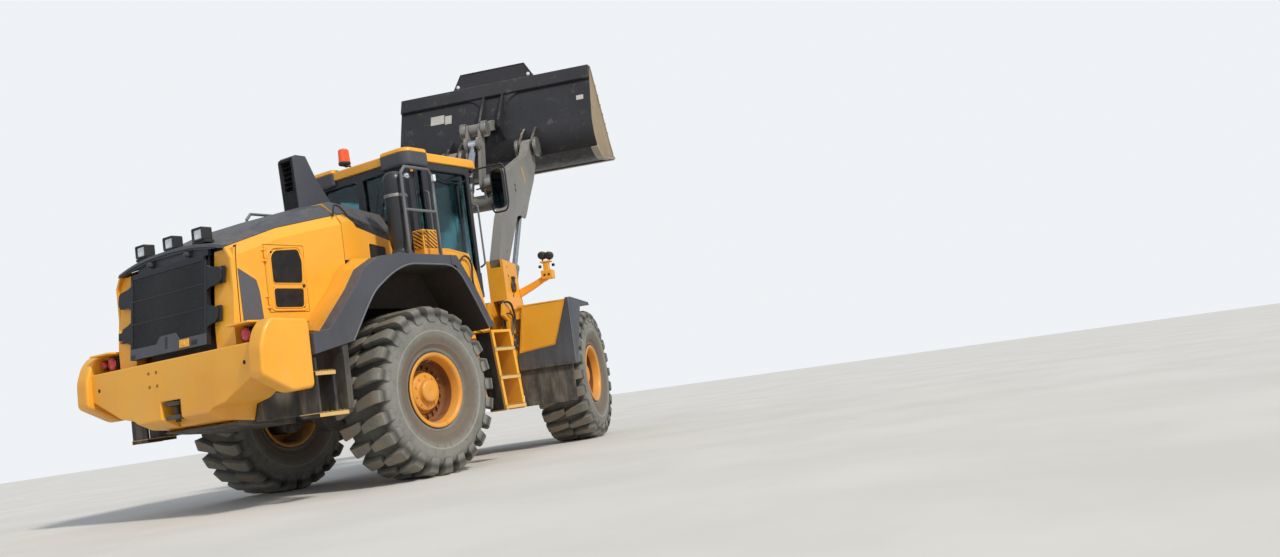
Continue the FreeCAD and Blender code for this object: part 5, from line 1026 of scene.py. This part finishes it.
for hand in HANDS:
    p = Piece("tower_pins", hand)
    for x, z, r in ((0.85, 2.15, 0.078), (0.64, 1.38, 0.066)):
        p.turned([(r, 0.714), (r, 0.738), (r - 0.008, 0.745), (0.035, 0.747), (0.03, 0.738)], (x, 0, z), LEFT, 36)
        p.prism(panel(x - 0.02, x + 0.02, z + 0.02, z + 0.14, 0.012, 3), "y", 0.714, 0.752)
        p.bolt((x, 0.752, z + 0.11), LEFT, 0.013, 0.012)
    p.done("grimy", "front_frame", edge=0.002, slot="dark_steel")
    p = Piece("tower_holes", hand)
    for x, z, r in ((0.838, 2.029, 0.02), (0.716, 2.29, 0.016)):
        p.turned([(r, 0.712), (r, 0.7165), (r * 0.5, 0.7165)], (x, 0, z), LEFT, 20)
    p.done("black", "front_frame")
    p = Piece("tower_hoses", hand)
    p.tube([(0.35, 0.64, 1.9), (0.4, 0.745, 1.93), (0.54, 0.76, 1.905), (0.64, 0.762, 1.74), (0.56, 0.76, 1.6),
            (0.44, 0.75, 1.5), (0.4, 0.69, 1.42)], 0.015, 10)
    p.tube([(0.42, 0.64, 1.76), (0.44, 0.742, 1.78), (0.56, 0.752, 1.76), (0.58, 0.752, 1.66), (0.48, 0.745, 1.54),
            (0.44, 0.69, 1.47)], 0.011, 10)
    p.done("hose", "front_frame")
    p = Piece("lamp_arm_frame", hand).loft([
        stand(rectangle(1.17 - half, 1.17 + half, z - tall, z + tall), "y", y) for y, z, half, tall in (
            (0.7155, 2.08, 0.042, 0.052), (0.9, 2.15, 0.038, 0.046), (1.06, 2.222, 0.034, 0.04),
            (1.12, 2.24, 0.034, 0.038))])
    p.box(1.105, 1.255, 1.05, 1.205, 2.215, 2.335)
    p.box(1.13, 1.21, 1.085, 1.16, 2.33, 2.455)
    p.box(1.12, 1.23, 1.05, 1.2, 2.44, 2.462)
    p.done("yellow", "front_frame", edge=0.008, stands_for=("lamp_arms",))
    p, lens = Piece("front_lamps", hand), Piece("front_lamp_lenses", hand)
    for x, y, z in LAMPS:
        p.turned([(0.03, -0.055), (0.05, -0.045), (0.056, -0.01), (0.056, 0.045), (0.05, 0.048), (0.05, 0.04)],
                 (x, y, z), LAMP_AXIS, 28)
        p.rod((x, y, z - 0.09), (x, y, z - 0.04), 0.01, 10)
        lens.turned([(0.049, 0.036), (0.047, 0.044), (0.03, 0.05), (0.004, 0.052)], (x, y, z), LAMP_AXIS, 28)
    for y, s in ((1.05, -1), (1.205, 1)):
        p.turned([(0.02, 0), (0.02, 0.03), (0.012, 0.036)], (1.165, y, 2.395), (0, s, 0), 18)
    for y in (1.1, 1.16):
        p.bolt((1.105, y, 2.27), BACK, 0.012, 0.01)
    p.done("black", "front_frame", slot="charcoal_trim")
    lens.done("white", "front_frame")
    outline = round_outline([(0.88, 1.852), (1.432, 1.852), (1.238, 1.318), (0.775, 1.268)], 0.03)
    Piece("fender_panel_edge", hand).bead(stand(outline, "x", 0.659), 0.004, 6).done("yellow", "front_frame")
    p = Piece("fender_flap", hand).prism(panel(0.735, 1.436, 0.555, 1.04, 0.02, 3), "x", 0.684, 0.706)
    p.box(0.64, 0.66, 0.745, 1.48, 1.024, 1.06)
    for y in (0.82, 1.02, 1.22, 1.4):
        p.bolt((0.684, y, 0.995), BACK, 0.01, 0.01)
    p.done("flap", "front_frame", edge=0.003)
    Piece("fender_rim", hand).tube([(0.648, 1.488, 1.045), (0.648, 1.488, 1.88), (0.78, 1.488, 1.89),
                                    (1.74, 1.488, 1.862)], 0.008, 8).done("fold", "front_frame")


# ---------------------------------------------------------------- boom and bucket

for hand in HANDS:
    Piece("boom_stripe", hand).prism([(2.3, 0.24), (2.272, 0.246), (2.164, 0.036), (2.19, 0.03)], "y",
                                     0.666, 0.6715).done("stripe", "boom_arms")
    p = Piece("boom_bosses", hand)
    for x, z, r, hole in ((0, 0, 0.105, 0.063), (3.09, 0, 0.098, 0.056), (1.7, -0.09, 0.088, 0.052)):
        p.turned([(hole, 0.664), (r, 0.664), (r, 0.6725), (r - 0.004, 0.6745), (hole, 0.6745)], (x, 0, z), LEFT, 36,
                 True)
    for x, z in ((0.45, 0.25), (2.1, -0.12)):
        p.bolt((x, 0.669, z), LEFT, 0.012, 0.008)
    p.done("boom", "boom_arms")
p = Piece("boom_pipes")
for y in (0.36, 0.4, 0.44):
    p.tube([(1.86, y, 0.128), (1.8, y, 0.1), (1.78, y, 0), (1.82, y, -0.09)], 0.011, 8)
for s in SIDES:
    p.turned([(0.128, s * 0.24), (0.132, s * 0.25), (0.132, s * 0.3), (0.128, s * 0.31)], (1.9, 0, 0), LEFT, 40)
p.done("grimy", "boom_arms")

side = [(0.862, 1.14), (0.56, 0.616), (0.392, 0.293), (0.383, 0.072), (0.458, -0.098), (0.622, -0.222),
        (0.816, -0.286), (1.6, -0.286), (1.47, -0.072), (0.94, 1.055), (0.9, 1.14)]
cheek = [(1.64, -0.262), (1.502, -0.054), (0.966, 1.082), (0.905, 1.165), (0.852, 1.168), (0.87, 1.12), (0.89, 1.12),
         (0.922, 1.07), (1.44, -0.06), (1.56, -0.262)]
keel = [(0.42, -0.14), (0.6, -0.268), (0.81, -0.328), (1.74, -0.338), (1.74, -0.298), (0.82, -0.286),
        (0.63, -0.225), (0.46, -0.1)]
wear, edges = Piece("bucket_side_wear"), Piece("bucket_side_edges")
for s in SIDES:
    wear.prism(side, "y", s * 1.596, s * 1.603)
    edges.prism(cheek, "y", s * 1.56, s * 1.612)
    edges.prism(keel, "y", s * 1.5, s * 1.609)
    for t in ((k + 0.5) / 6 for k in range(6)):
        edges.bolt((1.02 + 0.42 * t, s * 1.612, 0.93 - 0.91 * t), (0, s, 0), 0.014, 0.01)
wear.done("worn", "bucket_shell", edge=0.002)
edges.done("worn_edge", "bucket_shell", edge=0.004)
p = Piece("bucket_lip_segments")
step = 3.18 / 8
for y0 in (-1.59 + step * k for k in range(8)):
    p.prism([(1.48, -0.348), (1.5, -0.326), (1.74, -0.336), (1.765, -0.344), (1.74, -0.352)], "y", y0 + 0.004,
            y0 + step - 0.004)
    for share in (0.25, 0.75):
        p.bolt((1.62, y0 + step * share, -0.305), (-0.09, 0, 1), 0.02, 0.016)
p.done("worn_edge", "bucket_shell", edge=0.003)

rib = [(0.868, 1.158), (0.738, 0.934), (0.696, 0.968), (0.69, 0.985), (0.822, 1.19)]
Piece("bucket_band_ribs").prism(rib, "y", -1.597, 1.597).done("bucket", "bucket_shell", edge=0.008)
base, lean = Vector((0.535, 0.616)), Vector((0.319, 0.543)).normalized()
out = Vector((-lean.y, lean.x))


def on_back(outline, low, high):
    """Two rings of a flat outline of (y, distance up the bucket's back), at two depths from it."""
    rings = []
    for depth in (low, high):
        spots = [(base + lean * along + out * depth, y) for y, along in outline]
        rings.append([(q.x, y, q.y) for q, y in spots])
    return rings


curve = [(0.178, 0.02)] + [(0.178 + 0.4 * (1 - math.cos(a)), 0.05 + 0.36 * math.sin(a))
                           for a in (math.pi / 2 * k / 8 for k in range(9))] + [(0.6, 0.44), (0.178, 0.44)]
p = Piece("bucket_gussets")
for s in SIDES:
    p.loft(on_back([(s * y, along) for y, along in curve], -0.01, 0.022))
p.done("bucket", "bucket_shell", edge=0.006)
p = Piece("bucket_blank_plates")
for plate_box in ((0.85, 1.08, 0.06, 0.225), (0.722, 0.835, 0.035, 0.195), (-1.49, -1.375, 0.02, 0.105)):
    p.loft(on_back(rectangle(*plate_box), -0.004, 0.005))
p.done("blank", "bucket_shell", edge=0.001)
p = Piece("spill_guard_bolts")
for y in (-0.6, 0.6):
    p.turned([(0.03, 0), (0.03, 0.012), (0.022, 0.02), (0.004, 0.021)], (0.852, y, 1.225), (-1, 0, 0.14), 24)
p.done("white", "bucket_shell", slot="bucket_steel")
p = Piece("spill_guard_folds")
for s in SIDES:
    p.loft([stand(rectangle(x, x + 0.044, s * y, s * (y - 0.015)), "z", z)
            for x, y, z in ((0.828, 0.705, 1.15), (0.893, 0.545, 1.424))])
p.box(0.892, 0.938, -0.545, 0.545, 1.408, 1.426).done("bucket", "bucket_shell", edge=0.003)


# ---------------------------------------------------------------- camera, light and floor

LENS, SENSOR = 29.46, 36
CAMERA_AT = Vector((-9.935, -8.988, 0.662)) + SHIFT
CAMERA_TURN = (31.17, 5.6, -8.09)
# Directional lights: name, energy, angle, colour, direction
LIGHTS = (("sun", 2.7, 7, (1, 0.95, 0.88), (0.16, 0.8, -0.74)), ("fill", 0.35, 60, (0.9, 0.95, 1), (0.8, 0.3, -0.6)))
SHOWN_SKY, LIT_SKY, SKY_STRENGTH = (0.86, 0.89, 0.92, 1), (0.8, 0.88, 1, 1), 0.55
FLOOR_REACH = 60


def add_object(name, data):
    obj = bpy.data.objects.new(name, data)
    bpy.context.scene.collection.objects.link(obj)
    return obj


yaw, pitch, roll = (math.radians(v) for v in CAMERA_TURN)
ahead = Vector((math.cos(pitch) * math.cos(yaw), math.cos(pitch) * math.sin(yaw), math.sin(pitch)))
level = Vector((math.sin(yaw), -math.cos(yaw), 0))
above = level.cross(ahead)
right = math.cos(roll) * level + math.sin(roll) * above
up = -math.sin(roll) * level + math.cos(roll) * above
camera = add_object("camera", bpy.data.cameras.new("camera"))
camera.data.lens = LENS
camera.data.sensor_width = SENSOR
camera.matrix_world = Matrix.Translation(CAMERA_AT) @ Matrix((right, up, -ahead)).transposed().to_4x4()
bpy.context.scene.camera = camera

world = bpy.data.worlds.new("studio")
world.use_nodes = True
tree = world.node_tree
path = add_node(tree, "LightPath", {}).outputs
seen = add_node(tree, "Math", {0: path["Is Camera Ray"], 1: path["Is Transmission Ray"]}, operation="MAXIMUM")
shown = add_node(tree, "Background", {"Color": SHOWN_SKY})
lit = feed(tree, tree.nodes["Background"], {"Color": LIT_SKY, "Strength": SKY_STRENGTH})
mixed = add_node(tree, "MixShader", {0: seen.outputs[0], 1: lit.outputs[0], 2: shown.outputs[0]})
feed(tree, tree.nodes["World Output"], {"Surface": mixed.outputs[0]})
bpy.context.scene.world = world

mesh = bpy.data.meshes.new("floor")
mesh.from_pydata(stand(rectangle(-FLOOR_REACH, FLOOR_REACH, -FLOOR_REACH, FLOOR_REACH), "z", 0), [], [(0, 1, 2, 3)])
floor = add_object("floor", mesh)
s = Shader("floor")
mesh.materials.append(s.surface(
    Base_Color=s.mix(s.ramp(s.noise(0.6, 6), 0.3, 0.7), linear("D6D3CC"), linear("CDCAC3")), Roughness=0.9))

for name, energy, angle, colour, direction in LIGHTS:
    light = add_object(name, bpy.data.lights.new(name, "SUN"))
    light.data.energy = energy
    light.data.angle = math.radians(angle)
    light.data.color = colour
    light.rotation_euler = Vector(direction).to_track_quat("-Z", "Y").to_euler()

bpy.context.scene.view_settings.view_transform = "Standard"
